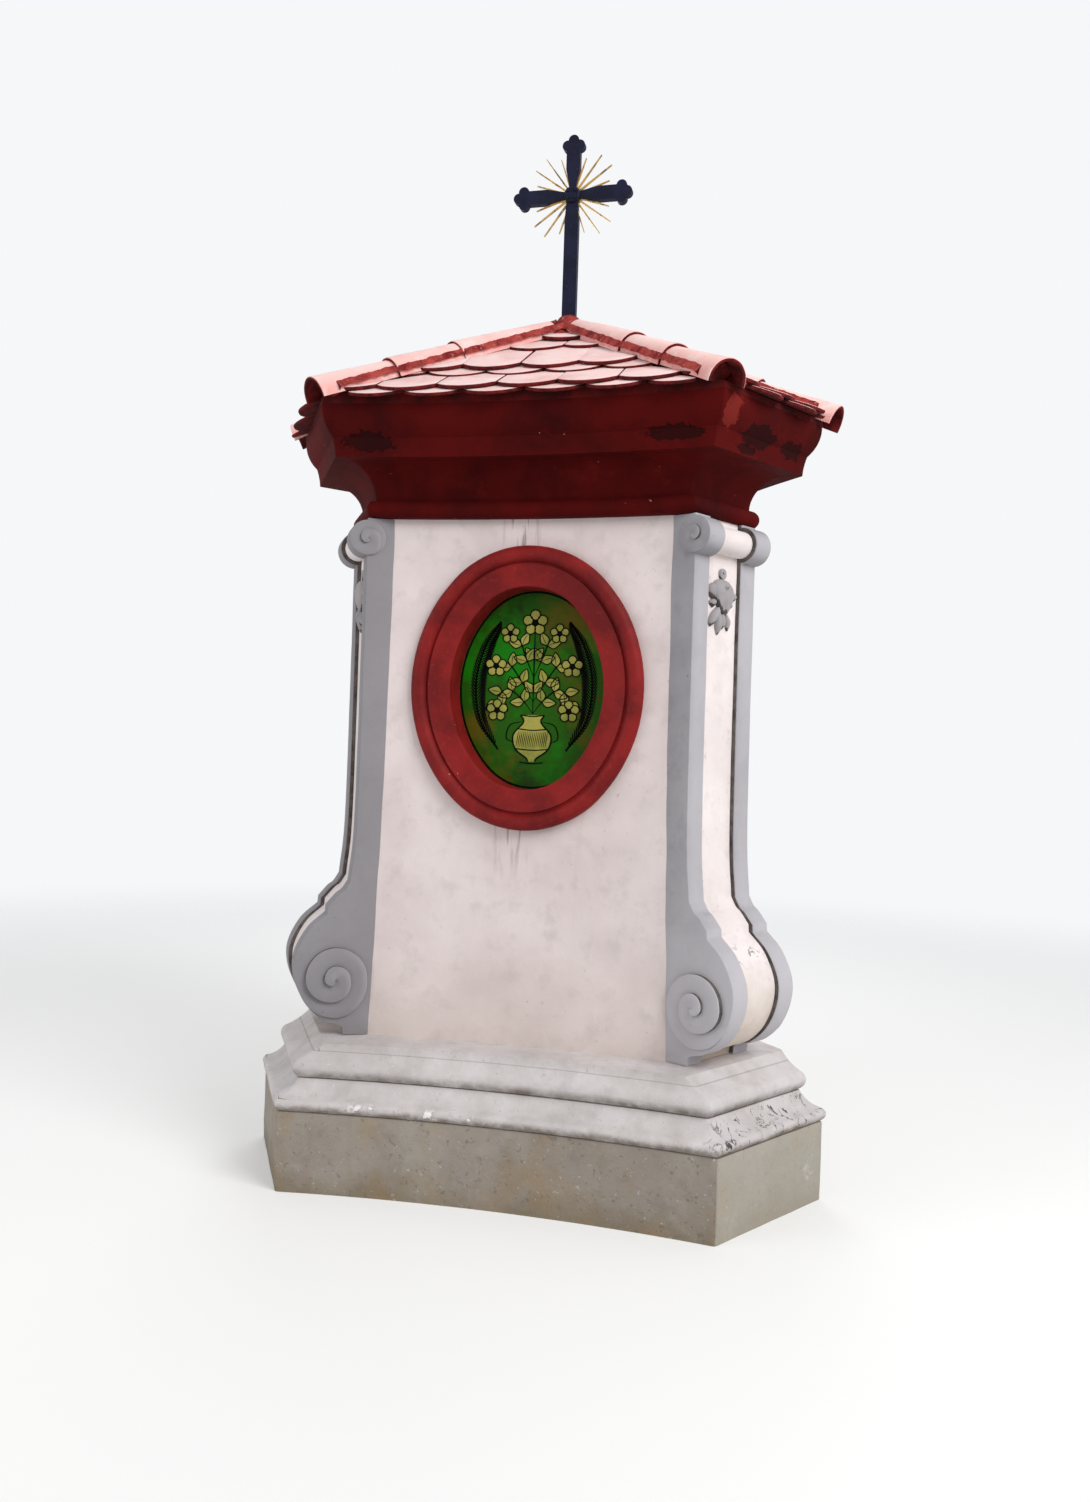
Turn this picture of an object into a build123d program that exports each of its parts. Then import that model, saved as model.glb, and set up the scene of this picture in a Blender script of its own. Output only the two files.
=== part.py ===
from build123d import *
from math import atan2, cos, degrees, radians, sin, sqrt, tan
import os

# Three-sided wayside shrine of rendered masonry with a tiled roof and an iron cross.
# Millimetres, +Z up, z = 0 at the foot of the plinth, the vertical axis of the shrine
# through the origin and the front wall facing -Y.

# Every level of the plan is a triangle with cut corners and slightly hollow sides: A is
# the distance from the axis to the line through the two ends of a side, C the distance
# to a cut corner, and C - A is the same all the way up a moulding.
BASE_OUT = 233.0
CORNICE_OUT = 210.0
BOW = 9.0

PLINTH_TOP = 253.0
PLINTH_A = 730.0
BASE_STEP = 345.0
WALL_FOOT = 455.0
WALL_TOP = 2160.0
CORNICE_TOP = 2488.0

# Walls, as A at the foot, near the middle and at the top
WALL_FOOT_A, WALL_MID_A, WALL_TOP_A = 485.0, 476.0, 470.0
WALL_MID = 1060.0
CORE_A = 330.0

# Oval niche, frame and picture in each side: a four-centred oval
OVAL_Z = 1610.0
OVAL_RX, OVAL_RZ = 388.0, 461.0
OVAL_END_R = 340.0
FRAME_W = 133.0
FRAME_FRONT = 479.0
PICTURE_T = 14.0

# Pilasters at the three cut corners: blocks of one width that end in a scroll
PILASTER_HALF = 165.0
PILASTER_BACK = 600.0
PANEL_HALF = 84.0
PANEL_DEPTH = 16.0
ROLL_R, ROLL_AT, ROLL_Z = 60.0, 716.5, 2092.5
VOLUTE_R, VOLUTE_AT, VOLUTE_Z = 130.0, 780.0, 642.0

# Roof
EAVE_A, EAVE_OUT, EAVE_Z = 738.0, 204.0, 2512.0
APEX_Z = 2945.0
OVERHANG = 58.0
TILE_T = 28.0

# Iron cross
CROSS_TOP = 3617.0
CROSS_UP = 215.0
CROSS_HALF = 217.0
CROSS_BAR = 50.0
CROSS_T = 26.0
SOCKET_DEPTH = 60.0

CORNERS = {"right": -30.0, "rear": 90.0, "left": 210.0}
SIDES = {"front": 0.0, "rear_right": 120.0, "rear_left": 240.0}
SECTION = Plane(origin=(0, 0, 0), x_dir=(1, 0, 0), z_dir=(0, -1, 0))


# Plan outline
def turned(x, y, deg):
    t = radians(deg)
    return (x * cos(t) - y * sin(t), x * sin(t) + y * cos(t))


def half_side(a, c):
    """Half length of a side of the plan at distances A and C."""
    return (c - a / 2) / cos(radians(30))


def outline(a, c, z):
    """Face of the plan at height z: three hollow sides and three cut corners."""
    s = half_side(a, c)
    sag = s * tan(radians(BOW / 2))
    with BuildSketch(Plane.XY.offset(z)) as face:
        with BuildLine():
            for k in range(3):
                start = turned(-s, -a, 120 * k)
                end = turned(s, -a, 120 * k)
                ThreePointArc(start, turned(0, -a + sag, 120 * k), end)
                Line(end, turned(-s, -a, 120 * (k + 1)))
        make_face()
    return face.sketch


def levels(curve, count):
    """Points (A, z) spaced along a drawn moulding profile."""
    return [curve @ (k / count) for k in range(count + 1)]


def moulded(profile, out, sweep=0.0, sweep_from=0.0):
    """Solid through the plan at each (A, z) of a profile; sweep draws the corners in."""
    top = profile[-1].Y
    with BuildPart() as solid:
        for point in profile:
            share = max(0.0, (point.Y - sweep_from) / (top - sweep_from))
            add(outline(point.X, point.X + out - sweep * share, point.Y))
        loft(ruled=True)
    return solid.part


# Base: plinth, a torus over it and a smaller torus that sweeps up to the pilaster feet
TORUS_TOP = 404.0
FOOT_SWEEP = 53.0

with BuildPart() as plinth:
    with BuildLine(mode=Mode.PRIVATE):
        side = Line((PLINTH_A, 0), (PLINTH_A, PLINTH_TOP))
    add(moulded(levels(side, 1), BASE_OUT))
plinth.part.label = "plinth"

with BuildPart() as lower_base_moulding:
    with BuildLine(mode=Mode.PRIVATE):
        torus = ThreePointArc((722, PLINTH_TOP), (739, 273), (731, 290))
        hollow = ThreePointArc((731, 290), (688, 313), (664, BASE_STEP))
    add(moulded(levels(torus, 6) + levels(hollow, 5)[1:], BASE_OUT))
lower_base_moulding.part.label = "lower_base_moulding"

with BuildPart() as upper_base_moulding:
    with BuildLine(mode=Mode.PRIVATE):
        torus = ThreePointArc((652, BASE_STEP), (682, 376), (669, TORUS_TOP))
        hollow = ThreePointArc((669, TORUS_TOP), (647, 428), (638, WALL_FOOT))
    add(moulded(levels(torus, 7) + levels(hollow, 4)[1:], BASE_OUT, FOOT_SWEEP, TORUS_TOP))
upper_base_moulding.part.label = "upper_base_moulding"


# Oval
def oval_points(inset):
    """Side radius, half axes and join of the four arcs, set in from the frame's edge."""
    rise = OVAL_RZ - OVAL_END_R
    flat = OVAL_RX - OVAL_END_R
    side_r = (OVAL_RX ** 2 + rise ** 2 - OVAL_END_R ** 2) / (2 * flat)
    reach = side_r - OVAL_RX
    join = degrees(atan2(rise, reach))
    return side_r - inset, OVAL_END_R - inset, reach, rise, join


def oval_prism(inset, y_near, y_far):
    side_r, end_r, reach, rise, join = oval_points(inset)
    x = side_r * cos(radians(join)) - reach
    z = side_r * sin(radians(join))
    with BuildPart() as prism:
        with BuildSketch(SECTION.offset(y_near)):
            with BuildLine():
                ThreePointArc((x, OVAL_Z - z), (side_r - reach, OVAL_Z), (x, OVAL_Z + z))
                ThreePointArc((x, OVAL_Z + z), (0, OVAL_Z + rise + end_r), (-x, OVAL_Z + z))
                ThreePointArc((-x, OVAL_Z + z), (reach - side_r, OVAL_Z), (-x, OVAL_Z - z))
                ThreePointArc((-x, OVAL_Z - z), (0, OVAL_Z - rise - end_r), (x, OVAL_Z - z))
            make_face()
        extrude(amount=y_far - y_near)
    return prism.part


# Pilasters, drawn in the upright plane through a corner: X outwards, Y up
SHAFT = [(719, 2030), (719, 1690), (723, 1160), (738, 960)]
NECK = [(738, 960), (757, 930), (776, 915), (810, 880)]
SCROLL = [(810, 850), (868, 800), (909, 717), (907, 637), (865, 549), (822, 490),
          (808, WALL_FOOT)]
WHORL_START = -20
WHORL_STEPS = 12


def pilaster_face(plane, inset):
    """Side view of a pilaster, its outer edge and roll set back by inset."""
    with BuildSketch(plane) as face:
        with BuildLine():
            shaft = Spline(*[(x - inset, z) for x, z in SHAFT])
            neck = Spline(*[(x - inset, z) for x, z in NECK])
            scroll = Spline(*[(x - inset, z) for x, z in SCROLL])
            Line(neck @ 1, scroll @ 0)
            Polyline(shaft @ 0, (ROLL_AT - inset, WALL_TOP), (PILASTER_BACK, WALL_TOP),
                     (PILASTER_BACK, WALL_FOOT), scroll @ 1)
        make_face()
        with Locations((ROLL_AT, ROLL_Z)):
            Circle(ROLL_R - inset)
    return face.sketch


def whorl(x, z, outer, inner, rise):
    """Spiral relief on a side face: two turns and an eye, each standing rise higher."""
    with BuildPart() as relief:
        for turn in (0, 1):
            points = []
            for k in range(WHORL_STEPS + 1):
                part = k / WHORL_STEPS
                angle = radians(WHORL_START - 360 * part)
                radius = outer + (inner - outer) * (turn + part) / 2
                points.append((x + radius * cos(angle), z + radius * sin(angle)))
            with BuildSketch(SECTION.offset(PILASTER_HALF)):
                with BuildLine():
                    edge = Spline(*points)
                    Line(edge @ 1, edge @ 0)
                make_face()
            extrude(amount=rise * (turn + 1))
        with BuildSketch(SECTION.offset(PILASTER_HALF)):
            with Locations((x, z)):
                Circle(inner * 0.8)
        extrude(amount=rise * 2.6)
    return relief.part


VOLUTE_RISE = 8.0
ROLL_RISE = 4.0

with BuildPart() as border:
    extrude(pilaster_face(SECTION.offset(PANEL_HALF), 0), amount=PILASTER_HALF - PANEL_HALF)
    with BuildSketch(SECTION.offset(PILASTER_HALF)):
        with Locations((ROLL_AT, ROLL_Z)):
            Circle(ROLL_R)
    extrude(amount=ROLL_RISE)
    add(whorl(ROLL_AT, ROLL_Z, ROLL_R - 14, 12, 2 * ROLL_RISE))
    add(whorl(VOLUTE_AT, VOLUTE_Z, VOLUTE_R, 24, VOLUTE_RISE))
    extrude(pilaster_face(SECTION.offset(PANEL_HALF), 0), amount=PILASTER_HALF,
            mode=Mode.INTERSECT)

with BuildPart() as other_border:
    mirror(border.part, about=Plane.XZ)

with BuildPart() as panel:
    extrude(pilaster_face(SECTION, PANEL_DEPTH), amount=PANEL_HALF, both=True)

# Core of the masonry, and the wall that closes each side between two pilasters
with BuildPart() as body:
    with BuildSketch(Plane.XY.offset(WALL_FOOT)):
        RegularPolygon(2 * CORE_A, 3, rotation=90)
        RegularPolygon(2 * PILASTER_BACK, 3, rotation=30, mode=Mode.INTERSECT)
    extrude(amount=WALL_TOP - WALL_FOOT)
body.part.label = "body"

with BuildPart() as wall_mass:
    for z, a in ((WALL_FOOT, WALL_FOOT_A), (WALL_MID, WALL_MID_A), (WALL_TOP, WALL_TOP_A)):
        add(outline(a, a + BASE_OUT, z))
    loft()

with BuildPart() as wall:
    add(wall_mass.part)
    with Locations((0, -CORE_A, WALL_FOOT)):
        Box(2000, 500, WALL_TOP, align=(Align.CENTER, Align.MAX, Align.MIN),
            mode=Mode.INTERSECT)
    for deg in (CORNERS["right"], CORNERS["left"]):
        with Locations(Rotation(0, 0, deg)):
            with Locations((PILASTER_BACK, 0, 0)):
                Box(500, 2 * PILASTER_HALF, 2 * WALL_TOP, mode=Mode.SUBTRACT,
                    align=(Align.MIN, Align.CENTER, Align.MIN))
    add(oval_prism(0, CORE_A, 2 * CORE_A), mode=Mode.SUBTRACT)

# Oval frame: an outer torus, a fine groove and a band that slopes in, over a deep reveal
WALL_REACH = 452.0


def frame_section(plane, radius):
    """Section of the frame, its outer edge at radius, Y towards the front."""
    inner = radius - FRAME_W
    with BuildSketch(plane) as face:
        with BuildLine():
            torus = ThreePointArc((radius, WALL_REACH), (radius - 25, FRAME_FRONT),
                                  (radius - 52, FRAME_FRONT - 17))
            Polyline(torus @ 1, (radius - 56, FRAME_FRONT - 25), (radius - 60, FRAME_FRONT - 16))
            band = ThreePointArc((radius - 60, FRAME_FRONT - 16),
                                 (radius - 98, FRAME_FRONT - 25), (inner, FRAME_FRONT - 27))
            Polyline(band @ 1, (inner, CORE_A), (radius, CORE_A), torus @ 0)
        make_face()
    return face.sketch


with BuildPart() as frame:
    side_r, end_r, reach, rise, join = oval_points(0)
    for x, z, radius, start, turn in ((-reach, 0, side_r, -join, 2 * join),
                                      (0, rise, end_r, join, 180 - 2 * join),
                                      (reach, 0, side_r, 180 - join, 2 * join),
                                      (0, -rise, end_r, 180 + join, 180 - 2 * join)):
        centre = (x, 0, OVAL_Z + z)
        t = radians(start)
        plane = Plane(origin=centre, x_dir=(cos(t), 0, sin(t)), z_dir=(sin(t), 0, -cos(t)))
        revolve(frame_section(plane, radius), axis=Axis(centre, (0, -1, 0)),
                revolution_arc=turn)

with BuildPart() as picture:
    add(oval_prism(FRAME_W, CORE_A, CORE_A + PICTURE_T))


# Carved drop near the head of each pilaster panel: button, blossom and three leaves
BLOSSOM_Z = 1930.0
BUTTON_Z, LEAVES_Z = BLOSSOM_Z + 62.0, BLOSSOM_Z - 64.0
BLOSSOM_R, PETAL_R = 34.0, 21.0

with BuildPart() as ornament:
    face_at = SHAFT[1][0] - PANEL_DEPTH
    with Locations((face_at, 0, BUTTON_Z)):
        Sphere(17)
    with Locations((face_at, 0, BLOSSOM_Z)):
        Sphere(20)
        with Locations(Rotation(0, 90, 0)):
            with PolarLocations(BLOSSOM_R, 6):
                Sphere(PETAL_R)
    for y, lean in ((-42, -34), (0, 0), (42, 34)):
        with Locations(Location((face_at, y, LEAVES_Z + abs(y) / 4), (lean, 0, 0))):
            Cone(5, 17, 50)
            with Locations((0, 0, 24)):
                Sphere(21)
    add(panel.part, mode=Mode.SUBTRACT)
    with Locations((face_at, 0, BLOSSOM_Z)):
        Box(400, 2 * PANEL_HALF - 6, 400, align=(Align.MIN, Align.CENTER, Align.CENTER),
            mode=Mode.INTERSECT)


def placed(solid, deg, label):
    """Copy of a solid turned about the axis of the shrine, as a named piece."""
    with BuildPart() as copy:
        with Locations(Rotation(0, 0, deg)):
            add(solid.part)
    copy.part.label = label
    return copy


walls, frames, pictures, pilasters = [], [], [], []
for name, deg in SIDES.items():
    walls.append(placed(wall, deg, "wall_" + name))
    frames.append(placed(frame, deg, "oval_frame_" + name))
    pictures.append(placed(picture, deg, "picture_" + name))
for name, deg in CORNERS.items():
    pilasters.append(placed(border, deg, "scroll_" + name + "_a"))
    pilasters.append(placed(other_border, deg, "scroll_" + name + "_b"))
    pilasters.append(placed(panel, deg, "panel_" + name))
    pilasters.append(placed(ornament, deg, "ornament_" + name))


# Cornice: bead, cavetto, fascia and the full rounded course that carries the eave
BEAD_TOP, CAVETTO_TOP, FASCIA_TOP = 2214.0, 2330.0, 2390.0
CORNICE_LINES = {
    "bead": ThreePointArc((499, WALL_TOP), (514, 2186), (500, BEAD_TOP)),
    "cavetto": ThreePointArc((484, BEAD_TOP), (503, 2279), (578, CAVETTO_TOP)),
    "fascia": Line((630, CAVETTO_TOP), (642, FASCIA_TOP)),
    "cove": ThreePointArc((641, FASCIA_TOP), (671, 2435), (EAVE_A - OVERHANG, CORNICE_TOP)),
}
cornice = []
for name, curve in CORNICE_LINES.items():
    with BuildPart() as course:
        add(moulded(levels(curve, 1 if name == "fascia" else 6), CORNICE_OUT))
    course.part.label = "cornice_" + name
    cornice.append(course)


# Roof: a deck under a layer of tiles, six slopes and six hips that meet at a mortar cap
EAVE_S = half_side(EAVE_A, EAVE_A + EAVE_OUT)
EAVE_REACH = sqrt(EAVE_A ** 2 + EAVE_S ** 2)
HIP_AT = degrees(atan2(EAVE_S, EAVE_A))
PITCH = (APEX_Z - EAVE_Z) / EAVE_A
SLOPES = {"front": (-90, HIP_AT), "rear_right": (30, HIP_AT), "rear_left": (150, HIP_AT),
          "corner_right": (-30, 60 - HIP_AT), "corner_rear": (90, 60 - HIP_AT),
          "corner_left": (210, 60 - HIP_AT)}
PEAK, ROOM = 0.01, 60.0
HIP_STEPS = [0.0, 0.27, 0.51]
HIP_LENGTH = 420.0
HIP_END_R, HIP_HEAD_R = 66.0, 52.0
HIP_SKIRT = 20.0
HIP_BACK, HIP_SINK = 30.0, 30.0
HIP_HOLLOW_R, HIP_HOLLOW_L = 52.0, 60.0
CAP_R, CAP_TOP_R, CAP_RISE = 120.0, 42.0, 33.0


def roof_cone(grow, drop):
    """Solid under the roof planes, run out past the eave by grow and lowered by drop."""
    edge = EAVE_A + grow
    with BuildPart() as solid:
        add(outline(edge, edge * (1 + EAVE_OUT / EAVE_A), EAVE_Z - grow * PITCH - drop))
        add(outline(EAVE_A * PEAK, (EAVE_A + EAVE_OUT) * PEAK, APEX_Z - drop))
        loft(ruled=True)
    return solid.part


def sector(middle, half):
    """Upright wedge of the plan, half the given angle each side of its middle direction."""
    far = 2 * EAVE_REACH
    with BuildPart() as wedge:
        with BuildSketch(Plane.XY.offset(CORNICE_TOP - ROOM)):
            Polygon((0, 0), turned(far, 0, middle - half), turned(far, 0, middle + half),
                    align=None)
        extrude(amount=2 * (APEX_Z - CORNICE_TOP))
    return wedge.part


with BuildPart() as socket:
    with Locations((0, 0, APEX_Z)):
        Box(CROSS_BAR, CROSS_T, 2 * SOCKET_DEPTH)



def roof_body(drop):
    """Solid with upright sides at the eave, under the roof planes lowered by drop."""
    with BuildPart() as solid:
        add(outline(EAVE_A, EAVE_A + EAVE_OUT, CORNICE_TOP - ROOM))
        add(outline(EAVE_A, EAVE_A + EAVE_OUT, EAVE_Z - drop))
        loft(ruled=True)
        add(roof_cone(0, drop))
    return solid.part


with BuildPart() as roof_deck:
    add(outline(EAVE_A - OVERHANG, EAVE_A - OVERHANG + CORNICE_OUT, CORNICE_TOP))
    extrude(amount=APEX_Z - CORNICE_TOP)
    add(roof_body(TILE_T), mode=Mode.INTERSECT)
    add(socket.part, mode=Mode.SUBTRACT)
roof_deck.part.label = "roof_deck"

with BuildPart() as tile_layer:
    add(roof_body(0))
    add(roof_body(TILE_T), mode=Mode.SUBTRACT)
    add(socket.part, mode=Mode.SUBTRACT)


def hip_line(middle):
    """Foot of a hip in direction middle, its way up, its level direction and its length."""
    corner = Vector(EAVE_REACH * cos(radians(middle)), EAVE_REACH * sin(radians(middle)), EAVE_Z)
    head = Vector(0, 0, APEX_Z)
    along = (head - corner).normalized()
    level = Vector(0, 0, 1).cross(along).normalized()
    foot = corner + along * HIP_BACK - Vector(0, 0, HIP_SINK)
    return foot, along, level, (head - corner).length


def hip_hollow(middle):
    """Open end of a hip: the mouth of its lowest tile and what lies beyond it."""
    foot, along, level, total = hip_line(middle)
    with BuildPart() as hollow:
        with BuildSketch(Plane(foot, level, along)):
            Circle(HIP_HOLLOW_R)
            with Locations((0, -HIP_HOLLOW_R)):
                Rectangle(2 * HIP_HOLLOW_R, 2 * HIP_HOLLOW_R, mode=Mode.SUBTRACT)
        extrude(amount=HIP_HOLLOW_L)
        with BuildSketch(Plane(foot, level, along)):
            Rectangle(2 * HIP_END_R, 4 * HIP_END_R)
        extrude(amount=-2 * HIP_BACK)
    return hollow.part


with BuildPart() as hollows:
    for deg in CORNERS.values():
        for turn in (-1, 1):
            add(hip_hollow(deg + turn * (60 - HIP_AT)))

slopes = []
for name, (middle, half) in SLOPES.items():
    with BuildPart() as slope:
        add(tile_layer.part)
        add(sector(middle, half), mode=Mode.INTERSECT)
        add(hollows.part, mode=Mode.SUBTRACT)
    slope.part.label = "roof_slope_" + name
    slopes.append(slope)

with BuildPart() as roof_cap:
    with BuildSketch(Plane.XY.offset(APEX_Z - CAP_R * PITCH)):
        Circle(CAP_R)
    with BuildSketch(Plane.XY.offset(APEX_Z + CAP_RISE)):
        Circle(CAP_TOP_R)
    loft(ruled=True)
    add(roof_cone(0, 0), mode=Mode.SUBTRACT)
    add(socket.part, mode=Mode.SUBTRACT)
roof_cap.part.label = "roof_cap"


# Hip tiles: tapering half-round covers, each lapping the one below it, on a mortar bed
def half_round(plane, radius):
    with BuildSketch(plane) as face:
        Circle(radius)
        with Locations((0, -radius)):
            Rectangle(4 * radius, 2 * radius, mode=Mode.SUBTRACT)
        with Locations((0, -HIP_SKIRT / 2)):
            Rectangle(2 * radius, HIP_SKIRT)
    return face.sketch


def hip_row(middle):
    """Hip tiles from the eave corner in direction middle up to the cap."""
    foot, along, level, total = hip_line(middle)
    with BuildPart() as row:
        for step in HIP_STEPS:
            low = foot + along * (step * total)
            add(half_round(Plane(low, level, along), HIP_END_R))
            add(half_round(Plane(low + along * HIP_LENGTH, level, along), HIP_HEAD_R))
            loft(ruled=True)
        add(hip_hollow(middle), mode=Mode.SUBTRACT)
    return row.part


with BuildPart() as under_roof:
    add(roof_cone(80, 0))
    with BuildSketch(Plane.XY.offset(CORNICE_TOP - 120)):
        Circle(2 * EAVE_REACH)
    extrude(amount=EAVE_Z - CORNICE_TOP + 120 - 80 * PITCH)

hips = []
for name, deg in CORNERS.items():
    with BuildPart() as hip_pair:
        for turn in (-1, 1):
            with BuildPart(mode=Mode.PRIVATE) as hip:
                add(hip_row(deg + turn * (60 - HIP_AT)))
                add(sector(deg + turn * 30, 30), mode=Mode.INTERSECT)
            add(hip.part)
        add(under_roof.part, mode=Mode.SUBTRACT)
        add(roof_cap.part, mode=Mode.SUBTRACT)
        add(socket.part, mode=Mode.SUBTRACT)
    hip_pair.part.label = "hip_tiles_" + name
    hips.append(hip_pair)


# Cross: flat bars with a waist at the crossing, lobed ends, a boss and a fan of rays
CROSS_Z = CROSS_TOP - CROSS_UP
CROSS_PLANE = Plane(origin=(0, 0, CROSS_Z), x_dir=(1, 0, 0), z_dir=(0, -1, 0))
HUB_R, HUB_T = 30.0, 44.0
WAIST, FOOT_WAIST = 24.0, 42.0
TAPER_END = 92.0
LOBE_R, LOBE_BACK, LOBE_OUT = 19.0, 38.0, 22.0
RAY_T, RAY_IN, RAY_TIP = 7.0, 7.0, 3.0
RAY_LEANS = {-26: 140, -9: 172, 9: 172, 26: 140}
RAY_CLEAR = 10.0
RAY_ROOM = CROSS_Z - APEX_Z - CAP_RISE - RAY_CLEAR
STUD_R, STUD_AT, STUD_RISE = 6.0, 19.0, 5.0

with BuildPart() as hub_room:
    with BuildSketch(CROSS_PLANE):
        Circle(HUB_R)
    extrude(amount=HUB_T, both=True)


def bar(length, waist, deg):
    """Bar of the cross pointing at deg from +X, narrowed to its waist at the hub."""
    with BuildSketch(CROSS_PLANE) as face:
        with Locations(Rotation(0, 0, deg)):
            Polygon((0, -waist / 2), (HUB_R, -waist / 2), (TAPER_END, -CROSS_BAR / 2),
                    (length, -CROSS_BAR / 2), (length, CROSS_BAR / 2),
                    (TAPER_END, CROSS_BAR / 2), (HUB_R, waist / 2), (0, waist / 2),
                    align=None)
    return face.sketch


def lobes(length, deg):
    """Three round lobes at the end of a bar."""
    with BuildSketch(CROSS_PLANE) as face:
        with Locations(Rotation(0, 0, deg)):
            with Locations((length - LOBE_R, 0), (length - LOBE_BACK, LOBE_OUT),
                           (length - LOBE_BACK, -LOBE_OUT)):
                Circle(LOBE_R)
    return face.sketch


with BuildPart() as cross_arms:
    for deg in (0, 180):
        extrude(bar(CROSS_HALF - LOBE_R, WAIST, deg), amount=CROSS_T / 2, both=True)
        extrude(lobes(CROSS_HALF, deg), amount=CROSS_T / 2, both=True)
    add(hub_room.part, mode=Mode.SUBTRACT)
cross_arms.part.label = "cross_arms"

with BuildPart() as cross_shaft:
    extrude(bar(CROSS_UP - LOBE_R, WAIST, 90), amount=CROSS_T / 2, both=True)
    extrude(lobes(CROSS_UP, 90), amount=CROSS_T / 2, both=True)
    extrude(bar(CROSS_Z - APEX_Z + SOCKET_DEPTH, FOOT_WAIST, 270), amount=CROSS_T / 2,
            both=True)
    add(hub_room.part, mode=Mode.SUBTRACT)
cross_shaft.part.label = "cross_shaft"

with BuildPart() as cross_boss:
    with BuildSketch(CROSS_PLANE):
        Circle(HUB_R)
    extrude(amount=HUB_T / 2, both=True)
    fillet(cross_boss.edges().filter_by(GeomType.CIRCLE), HUB_T / 5)
    with BuildSketch(CROSS_PLANE):
        with PolarLocations(STUD_AT, 4, start_angle=45):
            Circle(STUD_R)
    extrude(amount=HUB_T / 2 + STUD_RISE, both=True)
cross_boss.part.label = "cross_boss"

with BuildPart() as cross_rays:
    with BuildSketch(CROSS_PLANE):
        for quarter in (45, 135, 225, 315):
            for lean, reach in RAY_LEANS.items():
                down = -sin(radians(quarter + lean))
                if down > 0:
                    reach = min(reach, RAY_ROOM / down)
                with Locations(Rotation(0, 0, quarter + lean)):
                    Polygon((HUB_R - 3, -RAY_IN / 2), (reach, -RAY_TIP / 2),
                            (reach, RAY_TIP / 2), (HUB_R - 3, RAY_IN / 2), align=None)
    extrude(amount=RAY_T / 2, both=True)
    add(hub_room.part, mode=Mode.SUBTRACT)
    add(cross_arms.part, mode=Mode.SUBTRACT)
    add(cross_shaft.part, mode=Mode.SUBTRACT)
cross_rays.part.label = "cross_rays"

assembly = [plinth, lower_base_moulding, upper_base_moulding, body]
assembly += walls + pilasters + frames + pictures + cornice + [roof_deck] + slopes + hips
assembly += [roof_cap, cross_shaft, cross_arms, cross_boss, cross_rays]

os.makedirs("parts", exist_ok=True)
for piece in assembly:
    export_step(piece.part, "parts/" + piece.part.label + ".step")
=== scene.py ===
"""Looks of the wayside shrine: render, paint, tiles, carving and pictures on the CAD frame."""
import random
from math import atan2, cos, degrees, hypot, pi, radians, sin, sqrt, tan

import bmesh
import bpy
from mathutils import Matrix, Vector, noise


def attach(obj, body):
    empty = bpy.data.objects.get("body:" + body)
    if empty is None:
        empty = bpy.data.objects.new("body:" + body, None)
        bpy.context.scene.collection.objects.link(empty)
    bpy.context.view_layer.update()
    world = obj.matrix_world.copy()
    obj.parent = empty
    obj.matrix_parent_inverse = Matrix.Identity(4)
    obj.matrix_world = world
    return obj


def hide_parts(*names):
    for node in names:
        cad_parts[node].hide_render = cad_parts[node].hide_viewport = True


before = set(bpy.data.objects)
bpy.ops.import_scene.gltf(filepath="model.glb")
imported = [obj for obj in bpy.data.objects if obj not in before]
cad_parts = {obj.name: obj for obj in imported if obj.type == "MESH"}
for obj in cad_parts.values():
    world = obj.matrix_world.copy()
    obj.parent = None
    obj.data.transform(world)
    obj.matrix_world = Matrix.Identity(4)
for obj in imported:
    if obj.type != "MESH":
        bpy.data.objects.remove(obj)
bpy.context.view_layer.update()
scene = bpy.context.scene
scene.view_settings.view_transform = "Standard"

CORNERS = {"right": -30, "rear": 90, "left": 210}
SIDES = {"front": 0, "rear_right": 120, "rear_left": 240}

# Camera: the photograph's viewpoint, 1.4 m above the ground and right of the front
CAM_AT = Vector((1.003, -4.271, 1.401))
CAM_YAW, CAM_PITCH, CAM_ROLL = 0.239, 0.002, 0.032
FOCAL_PX, LONG_SIDE_PX, SENSOR_MM = 1224.0, 1502.0, 36


def place_camera():
    ahead = Vector((-sin(CAM_YAW) * cos(CAM_PITCH), cos(CAM_YAW) * cos(CAM_PITCH),
                    sin(CAM_PITCH)))
    level = Vector((cos(CAM_YAW), sin(CAM_YAW), 0))
    upright = level.cross(ahead)
    right = cos(CAM_ROLL) * level + sin(CAM_ROLL) * upright
    up = -sin(CAM_ROLL) * level + cos(CAM_ROLL) * upright
    data = bpy.data.cameras.new("photo_camera")
    data.sensor_width = SENSOR_MM
    data.lens = SENSOR_MM * FOCAL_PX / LONG_SIDE_PX
    camera = bpy.data.objects.new("photo_camera", data)
    turn = Matrix((right, up, -ahead)).transposed()
    camera.matrix_world = Matrix.Translation(CAM_AT) @ turn.to_4x4()
    scene.collection.objects.link(camera)
    scene.camera = camera


place_camera()


def rgb(red, green, blue):
    """Linear colour from the 0 to 255 values that a screen shows."""
    return tuple((v / 255 / 12.92) if v <= 10.31 else ((v / 255 + 0.055) / 1.055) ** 2.4
                 for v in (red, green, blue))


# Materials, all in world metres: every mesh is made in place, so object space is the frame
RAGGED = 0.16


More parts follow.
